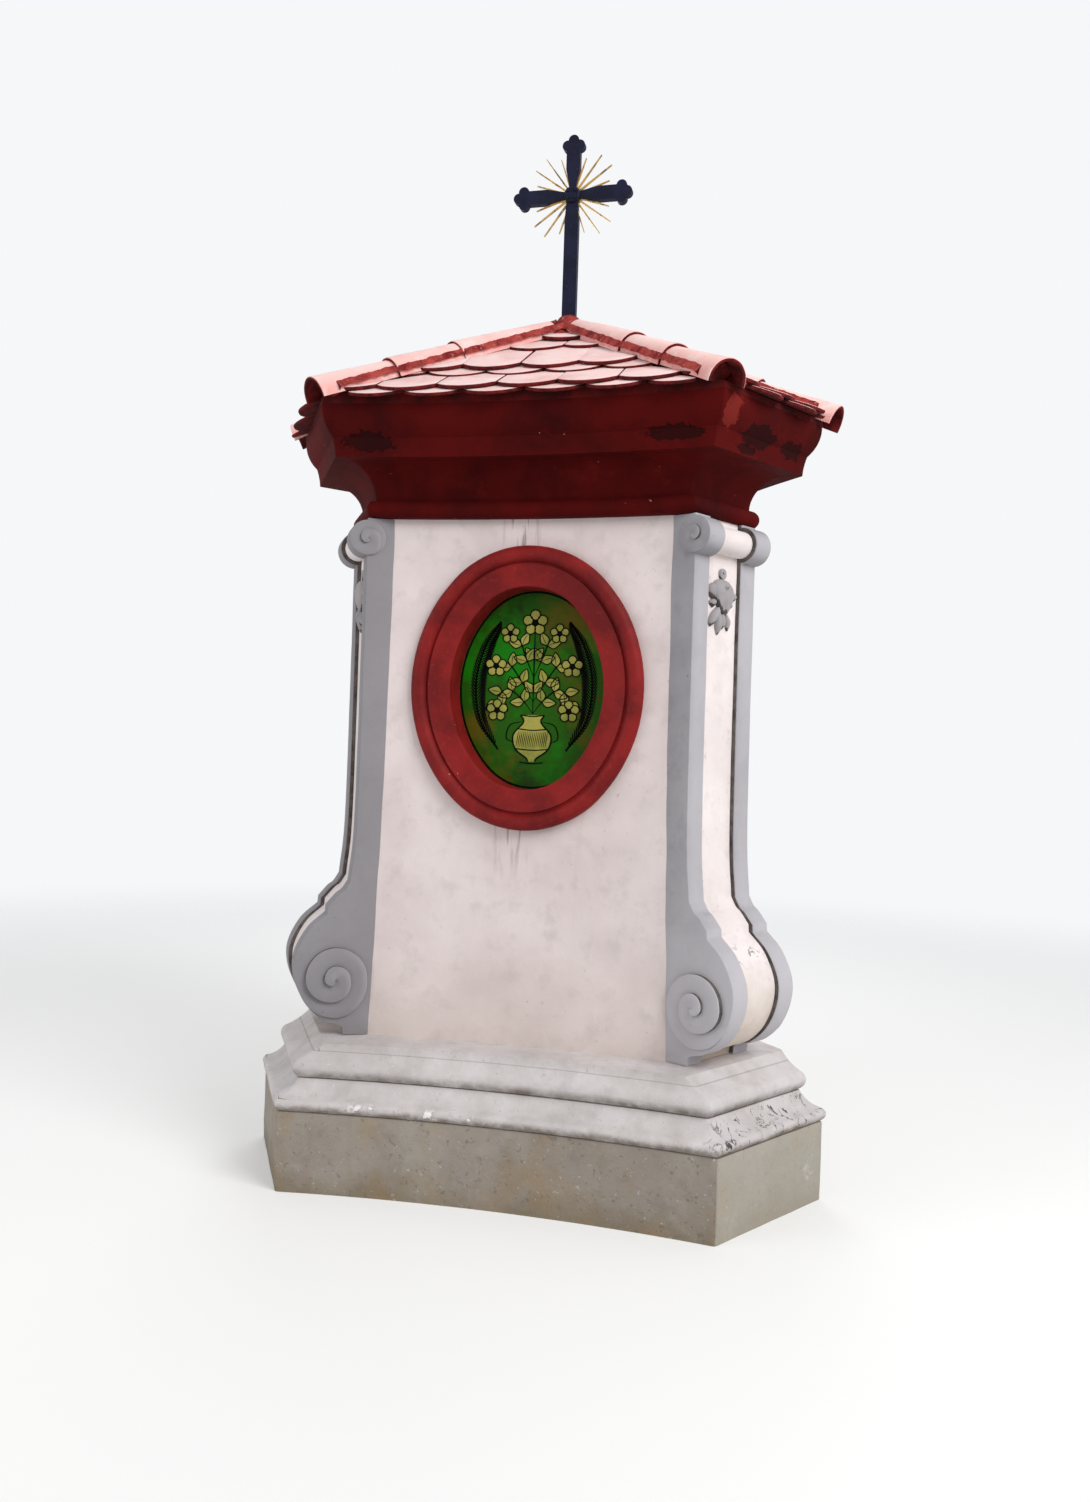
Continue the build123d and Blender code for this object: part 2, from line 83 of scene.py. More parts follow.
class Paint:
    """A shader built up in layers of colour, each through a mask, over a bumpy ground."""

    def __init__(self, name, color, roughness, specular=0.5, metallic=0.0):
        self.material = bpy.data.materials.new(name)
        self.material.use_nodes = True
        self.tree = self.material.node_tree
        self.shader = self.tree.nodes["Principled BSDF"]
        self.shader.inputs["Roughness"].default_value = roughness
        self.shader.inputs["Specular IOR Level"].default_value = specular
        self.shader.inputs["Metallic"].default_value = metallic
        self.color = color
        self.height = None
        self.where = self.node("ShaderNodeTexCoord").outputs["Object"]

    def node(self, kind, **inputs):
        made = self.tree.nodes.new(kind)
        for key, value in inputs.items():
            self.feed(made.inputs[key.replace("_", " ")], value)
        return made

    def feed(self, socket, value):
        if isinstance(value, bpy.types.NodeSocket):
            self.tree.links.new(value, socket)
        elif isinstance(value, tuple) and len(value) == 3 and socket.type == "RGBA":
            socket.default_value = (*value, 1)
        else:
            socket.default_value = value

    def math(self, operation, a, b=0.0):
        made = self.node("ShaderNodeMath")
        made.operation = operation
        self.feed(made.inputs[0], a)
        self.feed(made.inputs[1], b)
        return made.outputs[0]

    def times(self, mask, *others):
        """Product of masks."""
        for other in others:
            mask = self.math("MULTIPLY", mask, other)
        return mask

    def length(self, vector):
        made = self.node("ShaderNodeVectorMath")
        made.operation = "LENGTH"
        self.feed(made.inputs[0], vector)
        return made.outputs["Value"]

    def spot(self, stretch, shift):
        return self.node("ShaderNodeMapping", Vector=self.where, Scale=stretch,
                         Location=shift).outputs[0]

    def noise(self, scale, detail=5, rough=0.6, shift=(0, 0, 0), stretch=(1, 1, 1),
              distortion=0.0):
        made = self.node("ShaderNodeTexNoise", Vector=self.spot(stretch, shift), Scale=scale,
                         Detail=detail, Roughness=rough, Distortion=distortion)
        return made.outputs["Fac"]

    def ramp(self, value, low, high, out_low=0.0, out_high=1.0, kind="LINEAR"):
        made = self.node("ShaderNodeMapRange", Value=value, From_Min=low, From_Max=high,
                         To_Min=out_low, To_Max=out_high)
        made.interpolation_type = kind
        made.clamp = True
        return made.outputs[0]

    def patch(self, scale, low, high, *kind):
        """Mask of clouds: 0 where a noise is under low, 1 where it is over high."""
        return self.ramp(self.noise(scale, *kind), low, high)

    def axis(self, name):
        return self.node("ShaderNodeSeparateXYZ", Vector=self.where).outputs[name]

    def along(self, axis, low, high):
        """Mask that goes from 0 at one place along an axis to 1 at another."""
        return self.ramp(self.axis(axis), low, high)

    def between(self, axis, low, high, soft):
        """Mask of 1 between two places along an axis."""
        return self.times(self.along(axis, low - soft, low + soft),
                          self.along(axis, high + soft, high - soft))

    def turned(self, axis, low, high):
        """Mask that grows as the surface turns to face along an axis."""
        normal = self.node("ShaderNodeNewGeometry").outputs["Normal"]
        split = self.node("ShaderNodeSeparateXYZ", Vector=normal)
        return self.ramp(split.outputs[axis], low, high)

    def ragged_height(self, scale, rough):
        """Height above the ground, made uneven by up to RAGGED each way."""
        uneven = self.ramp(self.noise(scale, 5, rough), 0, 1, -RAGGED, RAGGED)
        return self.math("ADD", self.axis("Z"), uneven)

    def layer(self, color, mask, amount=1.0):
        """Mixes a colour over what is there, through a mask of 0 to 1."""
        made = self.node("ShaderNodeMix")
        made.data_type = "RGBA"
        self.feed(made.inputs["Factor"], self.math("MULTIPLY", mask, amount))
        self.feed(made.inputs[6], self.color)
        self.feed(made.inputs[7], color)
        self.color = made.outputs[2]

    def clouds(self, color, scale, low, high, amount=1.0, *kind):
        """Mixes a colour over what is there, in clouds: kind is what noise takes."""
        self.layer(color, self.patch(scale, low, high, *kind), amount)

    def relief(self, value, depth):
        """Adds a height of value times depth metres to the bump."""
        raised = self.math("MULTIPLY", value, depth)
        self.height = raised if self.height is None else self.math("ADD", self.height, raised)

    def grit(self, scale, depth, rough=0.6, detail=3):
        """Adds the bumps of a noise, depth metres high."""
        self.relief(self.noise(scale, detail, rough), depth)

    def done(self):
        self.feed(self.shader.inputs["Base Color"], self.color)
        if self.height is not None:
            bump = self.node("ShaderNodeBump", Height=self.height, Strength=1.0, Distance=1.0)
            self.feed(self.shader.inputs["Normal"], bump.outputs[0])
        return self.material


# Studio: pale floor that fades into the pale surroundings, and soft lamps
FLOOR_HALF, FLOOR_CLEAR, FLOOR_GONE, FLOOR_GLOW = 16.0, 3.0, 9.0, 0.20
WORLD_LIGHT, WORLD_SEEN, LAMP_AIM = 0.50, 0.95, Vector((0, 0, 1.6))
LAMPS = [("key", (4.6, -3.4, 5.2), 300, 3.6), ("fill", (-4.4, -3.8, 2.6), 68, 3.0),
         ("back", (-1.5, 5.0, 4.5), 100, 3.5)]


def floor_material():
    """Pale matt floor, a little brighter to the camera, that thins out with distance."""
    paint = Paint("studio_floor", (0.78, 0.78, 0.77), 0.9, 0.1)
    seen = paint.node("ShaderNodeLightPath").outputs["Is Camera Ray"]
    paint.feed(paint.shader.inputs["Emission Color"], (1, 1, 1))
    paint.feed(paint.shader.inputs["Emission Strength"], paint.times(seen, FLOOR_GLOW))
    thin = paint.ramp(paint.length(paint.where), FLOOR_CLEAR, FLOOR_GONE, kind="SMOOTHSTEP")
    mix = paint.node("ShaderNodeMixShader", Fac=thin)
    paint.feed(mix.inputs[1], paint.shader.outputs[0])
    paint.feed(mix.inputs[2], paint.node("ShaderNodeBsdfTransparent").outputs[0])
    paint.feed(paint.tree.nodes["Material Output"].inputs["Surface"], mix.outputs[0])
    return paint.done()


def studio():
    mesh = bpy.data.meshes.new("studio_floor")
    h = FLOOR_HALF
    mesh.from_pydata([(-h, -h, 0), (h, -h, 0), (h, h, 0), (-h, h, 0)], [], [(0, 1, 2, 3)])
    floor = bpy.data.objects.new("studio_floor", mesh)
    mesh.materials.append(floor_material())
    scene.collection.objects.link(floor)

    world = bpy.data.worlds.new("studio_world")
    world.use_nodes = True
    scene.world = world
    nodes, links = world.node_tree.nodes, world.node_tree.links
    background = nodes["Background"]
    path = nodes.new("ShaderNodeLightPath")
    seen = path.outputs["Is Camera Ray"]
    for kind in ("Is Glossy Ray", "Is Transmission Ray"):
        either = nodes.new("ShaderNodeMath")
        either.operation = "MAXIMUM"
        links.new(seen, either.inputs[0])
        links.new(path.outputs[kind], either.inputs[1])
        seen = either.outputs[0]
    strength = nodes.new("ShaderNodeMapRange")
    strength.inputs["To Min"].default_value = WORLD_LIGHT
    strength.inputs["To Max"].default_value = WORLD_SEEN
    links.new(seen, strength.inputs["Value"])
    links.new(strength.outputs["Result"], background.inputs["Strength"])
    background.inputs["Color"].default_value = (0.97, 0.98, 1.0, 1)

    for name, at, energy, size in LAMPS:
        data = bpy.data.lights.new(name, "AREA")
        data.energy = energy
        data.size = size
        lamp = bpy.data.objects.new(name, data)
        lamp.location = at
        aim = LAMP_AIM - Vector(at)
        lamp.rotation_euler = aim.to_track_quat("-Z", "Y").to_euler()
        scene.collection.objects.link(lamp)


studio()


# Finishes, some with painted light and shade
SOOT, RUST, MOSS = rgb(38, 36, 32), rgb(128, 92, 58), rgb(92, 92, 62)


def masonry(name, light, dark, grain=0.0006, trowel=0.0022, dirt=0.3, specks=0.5, foot=None):
    """Painted render: mottled colour, trowel waves, sandy grain, dirt and dark specks.

    A foot is a stain low down: full below one height, gone above another, colour, amount.
    """
    paint = Paint(name, light, 0.85)
    paint.clouds(dark, 3.1, 0.38, 0.68)
    paint.clouds(tuple(v * 0.82 for v in dark), 14, 0.52, 0.72, 0.45, 4)
    paint.clouds(RUST, 9, 0.58, 0.78, dirt * 0.6, 5, 0.65, (3.1, 0.4, 0), (1, 1, 0.09))
    paint.clouds(SOOT, 46, 0.69, 0.74, specks, 3, 0.7, (1, 5, 2))
    if foot:
        low, high, color, amount = foot
        paint.layer(color, paint.ramp(paint.ragged_height(5, 0.65), high, low), amount)
    paint.grit(7, trowel, 0.5)
    paint.grit(160, grain)
    return paint


def mottled(name, color, roughness, specular, clouds, grits=(), metallic=0.0):
    """Ground colour under clouds, and bumps, in rows of what Paint.clouds and Paint.grit take."""
    paint = Paint(name, color, roughness, specular, metallic)
    for cloud in clouds:
        paint.clouds(*cloud)
    for grit in grits:
        paint.grit(*grit)
    return paint.done()


def squiggles(paint, scale, thin, where, amount, shift, stretch=(1, 1, 1)):
    """Short wandering dark lines inside the mask where."""
    swirl = paint.noise(scale, 4, 0.6, shift, stretch, 0.6)
    line = paint.ramp(paint.math("ABSOLUTE", paint.math("SUBTRACT", swirl, 0.5)), thin, thin * 0.4)
    both = paint.times(line, paint.patch(scale * 1.4, 0.44, 0.50, 4, 0.6, (9, 2, 5)), where)
    paint.layer(SOOT, both, amount)
    paint.relief(both, -0.001)


def wall_finish():
    """Pinkish white, with water marks on the front below the oval frame."""
    paint = masonry("wall_render", rgb(228, 215, 213), rgb(212, 198, 195), dirt=0.14, specks=0.3,
                    foot=(0.42, 0.75, rgb(206, 192, 176), 0.35))
    across = paint.math("ABSOLUTE", paint.math("ADD", paint.axis("X"), 0.035))
    thread = paint.patch(70, 0.54, 0.60, 3, 0.5, (7, 0, 0), (1, 1, 0.06))
    mark = paint.times(paint.ramp(across, 0.07, 0.03), paint.along("Z", 0.98, 1.16),
                       paint.along("Y", -0.38, -0.41), thread)
    paint.layer(rgb(120, 92, 78), mark, 0.6)
    return paint.done()


def grey_with_painted_light():
    """Cool grey, with painted shade on the left, and painted light where it faces right and low on
    the right.
    """
    paint = masonry("grey_render", rgb(166, 163, 168), rgb(146, 143, 148), dirt=0.16,
                    foot=(0.42, 0.54, rgb(168, 162, 154), 0.45))
    # Painted shade: darker towards the left
    paint.layer(rgb(134, 130, 133), paint.along("X", 0.1, -0.5), 0.7)
    # Painted light on faces turned to the right
    paint.layer(rgb(204, 200, 204), paint.turned("X", 0.55, 0.85), 0.40)
    # Painted light low down on the right
    paint.layer(rgb(204, 200, 205), paint.times(paint.along("X", 0.3, 0.5),
                                                paint.along("Z", 1.1, 0.7)), 0.55)
    return paint.done()


def cream_finish():
    """Cream, stained low down, and crazed at the belly of the right scroll."""
    paint = masonry("cream_render", rgb(242, 232, 230), rgb(226, 215, 212), specks=0.1)
    paint.layer(rgb(200, 180, 150), paint.ramp(paint.ragged_height(9, 0.7), 0.80, 0.50), 0.55)
    crazed = paint.times(paint.between("Z", 0.775, 0.815, 0.02), paint.along("X", 0.3, 0.4))
    squiggles(paint, 13, 0.020, crazed, 0.85, (4, 1, 0))
    paint.clouds(rgb(150, 128, 96), 26, 0.62, 0.66, 0.25, 6, 0.7, (4, 1, 2))
    return paint.done()


def base_with_painted_shade():
    """Whitish grey: painted shade in brown on the undersides and under the lower bulge, a scratched
    line, flakes at the rim, lichen on the right.
    """
    paint = masonry("base_render", rgb(214, 208, 208), rgb(194, 188, 187), specks=0.6,
                    trowel=0.004, grain=0.0010)
    paint.clouds(rgb(176, 168, 160), 12, 0.46, 0.70, 0.4, 6, 0.6, (2, 9, 0))
    paint.clouds(rgb(140, 128, 114), 60, 0.64, 0.67, 0.4, 5, 0.7, (2, 9, 0))
    paint.clouds(rgb(240, 236, 232), 80, 0.66, 0.69, 0.5, 5, 0.7, (6, 3, 1))
    paint.layer(rgb(112, 104, 98), paint.between("Z", 0.4295, 0.4320, 0.0008), 0.4)
    # Painted shade: brown in clouds on faces turned down
    under = paint.times(paint.turned("Z", 0.05, -0.55), paint.patch(12, 0.3, 0.6, 5, 0.7))
    paint.layer(rgb(104, 90, 76), under, 0.8)
    # Painted shadow line under the bulge of the lower moulding, in clouds
    rim = paint.times(paint.between("Z", 0.255, 0.276, 0.006),
                      paint.patch(16, 0.44, 0.60, 6, 0.75, (0, 3, 3)))
    paint.layer(rgb(120, 104, 88), rim, 0.6)
    flake = paint.times(paint.patch(21, 0.55, 0.57, 6, 0.7, (5, 3, 7)),
                        paint.between("Z", 0.262, 0.288, 0.006),
                        paint.between("X", -0.46, -0.04, 0.04))
    paint.layer(rgb(246, 243, 240), flake, 0.95)
    paint.relief(flake, 0.002)
    corner = paint.times(paint.along("X", 0.62, 0.70), paint.between("Z", 0.262, 0.338, 0.01))
    squiggles(paint, 14, 0.016, corner, 0.92, (3, 1, 6), (1, 1, 0.6))
    paint.grit(42, 0.002, 0.6, 4)
    return paint.done()


def plinth_with_painted_light():
    """Grey brown, peeling and stained, with moss in streaks and painted light on faces turned
    right.
    """
    paint = masonry("plinth_render", rgb(160, 152, 142), rgb(138, 128, 117), specks=0.8,
                    trowel=0.005, grain=0.0012, foot=(0.0, 0.10, rgb(122, 106, 80), 0.6))
    peeled = paint.patch(4.3, 0.66, 0.678, 6, 0.62, (3, 7, 0))
    paint.layer(rgb(182, 177, 168), peeled)
    paint.relief(peeled, -0.0012)
    paint.clouds(rgb(152, 126, 86), 4.6, 0.5, 0.68, 0.55, 5, 0.6, (6, 1, 3), (1, 1, 0.7))
    paint.clouds(rgb(96, 88, 76), 48, 0.60, 0.63, 0.45, 5, 0.7, (1, 7, 0))
    paint.clouds(rgb(206, 202, 194), 64, 0.64, 0.67, 0.6, 5, 0.7, (8, 3, 1))
    paint.clouds(MOSS, 11, 0.58, 0.74, 0.12, 5, 0.7, (0, 0, 0), (1, 1, 0.4))
    # Painted light on faces turned to the right
    paint.layer(rgb(190, 186, 174), paint.turned("X", 0.6, 0.8), 0.45)
    paint.grit(36, 0.003, 0.6, 4)
    return paint.done()


# Broken patches of the cornice: middle, then half width and half height
CORNICE_DAMAGE = [((0.704, -0.452, 2.398), 0.085, 0.032), ((0.800, -0.285, 2.392), 0.055, 0.024),
                  ((0.480, -0.612, 2.378), 0.085, 0.022), ((-0.500, -0.612, 2.375), 0.075, 0.030),
                  ((0.690, -0.500, 2.352), 0.050, 0.014)]
CORNICE_LIT = ((0.652, -0.622, 2.440), 0.035, 0.060)


def blot(paint, middle, wide, high, rough=0.75, seed=0.0):
    """Mask of 1 inside a ragged rounded patch round a place."""
    x, y, z = middle
    near = paint.length(paint.spot((1 / wide, 1 / wide, 1 / high),
                                   (-x / wide, -y / wide, -z / high)))
    ragged = paint.ramp(paint.noise(34, 6, 0.72, (seed, 0, 0)), 0.2, 0.8, -rough, rough)
    return paint.ramp(paint.math("ADD", near, ragged), 1.04, 0.88)


def cornice_with_painted_shade():
    """Deep dull red, darkened as painted shade under the eave, with broken patches and a few chips.
    """
    # The base red is darkened as painted shade under the eave
    paint = Paint("cornice_red", rgb(82, 8, 7), 0.8, 0.08)
    paint.clouds(rgb(54, 4, 4), 4, 0.4, 0.66)
    paint.clouds(rgb(112, 26, 22), 8, 0.60, 0.76, 0.45, 5, 0.65, (4, 4, 4))
    paint.layer(rgb(140, 46, 38), blot(paint, *CORNICE_LIT, rough=1.0, seed=3), 0.55)
    for k, (middle, wide, high) in enumerate(CORNICE_DAMAGE):
        broken = blot(paint, middle, wide, high, seed=k)
        paint.layer(rgb(34, 4, 5), broken, 0.85)
        paint.relief(broken, -0.004)
    paint.clouds(rgb(196, 150, 138), 38, 0.735, 0.745, 0.7, 4, 0.6, (2, 2, 8))
    paint.grit(9, 0.0018, 0.5)
    paint.grit(150, 0.0004)
    return paint.done()


def tile_with_painted_light(name, light, dark, bleached):
    """Clay, with painted light: paler where it faces the sky."""
    paint = Paint(name, dark, 0.75, 0.3)
    # Painted light on faces turned to the sky; the rest keeps the darker colour
    paint.layer(light, paint.turned("Z", 0.15, 0.85))
    paint.clouds(dark, 5.5, 0.48, 0.70, 0.55)
    paint.clouds(bleached, 13, 0.50, 0.72, 0.7, 5, 0.7, (3, 3, 0))
    paint.clouds(rgb(150, 62, 54), 34, 0.66, 0.76, 0.5, 5, 0.7, (1, 0, 6))
    paint.grit(30, 0.0012, 0.5)
    paint.grit(240, 0.0004)
    return paint.done()


WALL, GREY, CREAM = wall_finish(), grey_with_painted_light(), cream_finish()
BASE, PLINTH, CORNICE = base_with_painted_shade(), plinth_with_painted_light(), cornice_with_painted_shade()
CARVED = masonry("ornament_grey", rgb(172, 167, 169), rgb(148, 143, 145), specks=0.3).done()
TILE = tile_with_painted_light("roof_tile", rgb(250, 216, 212), rgb(228, 168, 162), rgb(250, 234, 232))
HIP_TILE = tile_with_painted_light("hip_tile", rgb(252, 216, 210), rgb(240, 172, 164), rgb(252, 234, 230))
FRAME_RED = mottled("frame_red", rgb(134, 24, 24), 0.6, 0.2, [
    (rgb(104, 14, 15), 6, 0.42, 0.62), (rgb(162, 56, 52), 60, 0.58, 0.75, 0.4, 4, 0.7),
    (rgb(214, 190, 180), 42, 0.735, 0.745, 0.9, 3, 0.6, (5, 0, 3))],
    [(12, 0.0012, 0.5), (210, 0.0003)])
# Red paint on the rims and undersides of the tiles, darkened as painted shade; it also lines the
# hip tiles and the ends of the mortar
RED_EDGE_AND_SHADE = mottled("tile_edge", rgb(112, 26, 26), 0.9, 0.2, [
    (rgb(60, 14, 15), 30, 0.4, 0.62, 1, 5, 0.7)], [(120, 0.0006)])
MORTAR = mottled("mortar", rgb(176, 72, 66), 0.95, 0.2, [
    (rgb(116, 30, 32), 18, 0.4, 0.62, 1, 5, 0.7),
    (rgb(222, 170, 160), 44, 0.60, 0.70, 0.7, 5, 0.7, (2, 8, 0))],
    [(60, 0.004, 0.6, 4), (260, 0.0012)])
DECK = mottled("roof_core", rgb(92, 12, 11), 0.9, 0.2, [(rgb(60, 8, 8), 15, 0.4, 0.6)],
               [(40, 0.003, 0.6, 4)])
IRON = mottled("cross_iron", rgb(24, 26, 50), 0.55, 0.15, [
    (rgb(16, 18, 36), 16, 0.4, 0.6), (rgb(50, 48, 78), 50, 0.6, 0.75, 0.5, 4, 0.7, (1, 2, 3)),
    (rgb(110, 66, 44), 90, 0.68, 0.74, 0.7, 4, 0.7, (7, 2, 3))], [(70, 0.0007, 0.5)])
GILT = mottled("gilt", rgb(196, 158, 84), 0.38, 0.5, [
    (rgb(70, 62, 70), 30, 0.5, 0.6, 0.75, 5, 0.7)], [(90, 0.0006)], metallic=0.85)
# Unpainted render in the narrow returns and steps, under the carving and in its eye, darkened as
# painted shade and by dirt
SHADE_AND_DIRT = mottled("grey_shade_and_dirt", rgb(104, 96, 92), 0.95, 0.5, [
    (rgb(66, 60, 57), 24, 0.4, 0.62, 1, 5, 0.7)], [(120, 0.001)])
# Picture: leaf green ground with olive and brown clouds, pale fillings, black lines
GLASS = mottled("picture_glass", rgb(34, 86, 6), 0.4, 0.10, [
    (rgb(22, 118, 8), 5, 0.50, 0.62, 1, 4, 0.6, (2, 5, 5)),
    (rgb(92, 80, 12), 4.4, 0.48, 0.60, 0.9, 5, 0.6, (5, 5, 5)),
    (rgb(28, 44, 14), 8, 0.55, 0.68, 0.7, 5, 0.65, (9, 5, 1)),
    (rgb(86, 52, 20), 6, 0.60, 0.70, 0.8, 5, 0.65, (1, 5, 8))], [(26, 0.0006, 0.5)])
PALE = mottled("picture_pale", rgb(166, 160, 74), 0.35, 0.25, [
    (rgb(128, 132, 52), 9, 0.42, 0.62, 1, 5, 0.65, (2, 5, 5)),
    (rgb(70, 76, 28), 90, 0.62, 0.68, 0.7, 4, 0.7)])
INK = mottled("picture_ink", rgb(8, 10, 6), 0.7, 0.05, [
    (tuple(v * 0.6 for v in rgb(8, 10, 6)), 40, 0.4, 0.6, 1, 3, 0.6)])


# Mesh helpers
def piece(name, bm, material, slot, *nodes, sharp=38, second=None):
    """Turns a mesh under construction into a piece that rides on the shrine."""
    bmesh.ops.recalc_face_normals(bm, faces=bm.faces)
    mesh = bpy.data.meshes.new(name)
    bm.to_mesh(mesh)
    bm.free()
    mesh.materials.append(material)
    if second:
        mesh.materials.append(second)
    mesh.polygons.foreach_set("use_smooth", [True] * len(mesh.polygons))
    mesh.set_sharp_from_angle(angle=radians(sharp))
    made = bpy.data.objects.new(name, mesh)
    scene.collection.objects.link(made)
    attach(made, "root")
    if nodes:
        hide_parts(*nodes)


def merge(bm, part):
    """Adds a finished part to a mesh under construction."""
    laid = bpy.data.meshes.new("part")
    part.to_mesh(laid)
    part.free()
    bm.from_mesh(laid)
    bpy.data.meshes.remove(laid)


def spin(bm, deg):
    bmesh.ops.rotate(bm, verts=bm.verts, cent=(0, 0, 0),
                     matrix=Matrix.Rotation(radians(deg), 3, "Z"))


def settle(bm, depth, scale, seed=0.0, level=False):
    """Uneven hand-run surface: points sink in by up to depth, or level keeps their height."""
    bmesh.ops.recalc_face_normals(bm, faces=bm.faces)
    bm.normal_update()
    for vert in bm.verts:
        at = vert.co * scale + Vector((seed, 2 * seed, 0))
        inward = Vector((vert.co.x, vert.co.y, 0)).normalized() if level else vert.normal
        vert.co -= inward * depth * (0.5 + 0.5 * noise.noise(at))


def web(bm, rows, closed=True, ring=False, second=lambda j, k: 0):
    """Quads between rows that have the same number of vertices.

    Closed joins the ends of each row and ring joins the last row to the first. Second tells
    which quads, by row and by place in it, wear the second material.
    """
    count = len(rows[0])
    for j, (low, high) in enumerate(zip(rows, rows[1:] + (rows[:1] if ring else []))):
        for k in range(count if closed else count - 1):
            n = (k + 1) % count
            quad = bm.faces.new((low[k], low[n], high[n], high[k]))
            quad.material_index = int(second(j, k))


def sheet(bm, loops, **kind):
    """Web between loops of points."""
    rows = [[bm.verts.new(p) for p in loop] for loop in loops]
    web(bm, rows, **kind)
    return rows


def skin(bm, loops, first_cap=0):
    """Closed web between loops of points, with a cap on the first and on the last."""
    rows = sheet(bm, loops)
    bm.faces.new(rows[0][::-1]).material_index = first_cap
    bm.faces.new(rows[-1])


def circle(x, z, radius, count, first=0.0):
    return [(x + radius * cos(first + 2 * pi * k / count),
             z + radius * sin(first + 2 * pi * k / count)) for k in range(count)]


def arc3(start, middle, end, count):
    """Points on the circle through three points of a plane."""
    (ax, ay), (bx, by), (cx, cy) = start, middle, end
    d = 2 * (ax * (by - cy) + bx * (cy - ay) + cx * (ay - by))
    a2, b2, c2 = ax * ax + ay * ay, bx * bx + by * by, cx * cx + cy * cy
    ux = (a2 * (by - cy) + b2 * (cy - ay) + c2 * (ay - by)) / d
    uy = (a2 * (cx - bx) + b2 * (ax - cx) + c2 * (bx - ax)) / d
    first = atan2(ay - uy, ax - ux)
    turn = (atan2(cy - uy, cx - ux) - first) % (2 * pi)
    through = (atan2(by - uy, bx - ux) - first) % (2 * pi)
    if through > turn:
        turn -= 2 * pi
    radius = hypot(ax - ux, ay - uy)
    return [(ux + radius * cos(first + turn * k / count),
             uy + radius * sin(first + turn * k / count)) for k in range(count + 1)]


def smooth_line(points, count):
    """Points along a smooth curve through the given ones (cubic, uniform)."""
    before = tuple(2 * a - b for a, b in zip(points[0], points[1]))
    after = tuple(2 * a - b for a, b in zip(points[-1], points[-2]))
    run = [before, *points, after]
    line = []
    for i in range(len(points) - 1):
        p0, p1, p2, p3 = run[i:i + 4]
        for k in range(count):
            t = k / count
            line.append(tuple(0.5 * (2 * b + (c - a) * t + (2 * a - 5 * b + 4 * c - d) * t * t
                                     + (3 * b - a - 3 * c + d) * t ** 3)
                              for a, b, c, d in zip(p0, p1, p2, p3)))
    line.append(tuple(points[-1]))
    return line


def moved(line, reach, closed=True):
    """The line moved to its right, each point by its own reach."""
    last = len(line) - 1
    made = []
    for k, (x, z) in enumerate(line):
        px, pz = line[k - 1 if closed else max(k - 1, 0)]
        nx, nz = line[(k + 1) % (last + 1) if closed else min(k + 1, last)]
        dx, dz = nx - px, nz - pz
        size = max(hypot(dx, dz), 1e-6)
        made.append((x + reach[k] * dz / size, z - reach[k] * dx / size))
    return made


# Mouldings, on the same plan as the CAD courses: A to a side, C to a cut corner
BOW = 9
BASE_OUT, CORNICE_OUT, BASE_WEAR, CORNICE_WEAR = 0.233, 0.210, 0.0035, 0.002
SIDE_POINTS, CORNER_POINTS, ARRIS_ANGLE, ARRIS_STEEP = 36, 10, 18, 0.35


def plan_loop(a, c, z):
    """One level of the plan as points, three hollow sides and three cut corners."""
    s = (c - a / 2) / cos(radians(30))
    sag = s * tan(radians(BOW / 2))
    side = arc3((-s, -a), (0, sag - a), (s, -a), SIDE_POINTS)
    loop = []
    for k in range(3):
        t = radians(120 * k)
        turned = [(x * cos(t) - y * sin(t), x * sin(t) + y * cos(t)) for x, y in side]
        t = radians(120 * (k + 1))
        nx, ny = -s * cos(t) + a * sin(t), -s * sin(t) - a * cos(t)
        ex, ey = turned[-1]
        loop += [(x, y, z) for x, y in turned]
        loop += [(ex + (nx - ex) * i / CORNER_POINTS, ey + (ny - ey) * i / CORNER_POINTS, z)
                 for i in range(1, CORNER_POINTS)]
    return loop


def round_arrises(bm, width):
    """Rounds the upright edges where two faces of the plan meet."""
    bm.normal_update()
    picked = []
    for edge in bm.edges:
        if len(edge.link_faces) == 2 and abs(edge.calc_face_angle()) > radians(ARRIS_ANGLE):
            run = edge.verts[1].co - edge.verts[0].co
            if abs(run.z) > ARRIS_STEEP * run.length:
                picked.append(edge)
    bmesh.ops.bevel(bm, geom=picked, offset=width, segments=2, affect="EDGES", profile=0.6,
                    clamp_overlap=True)


def course(name, profile, out, material, slot, depth, sweep=(0.0, 1.0), arris=0.006):
    """A moulded course replacing the CAD node of the same name.

    Sweep is how far the cut corners draw in towards the top, and the height where that starts.
    """
    bm = bmesh.new()
    top = profile[-1][1]
    drawn, start = sweep
    loops = []
    for a, z in profile:
        share = max(0.0, (z - start) / (top - start)) if drawn else 0.0
        loops.append(plan_loop(a, a + out - drawn * share, z))
    skin(bm, loops)
    round_arrises(bm, arris)
    settle(bm, depth, 9.0, level=True)
    piece(name + "_run", bm, material, slot, name)


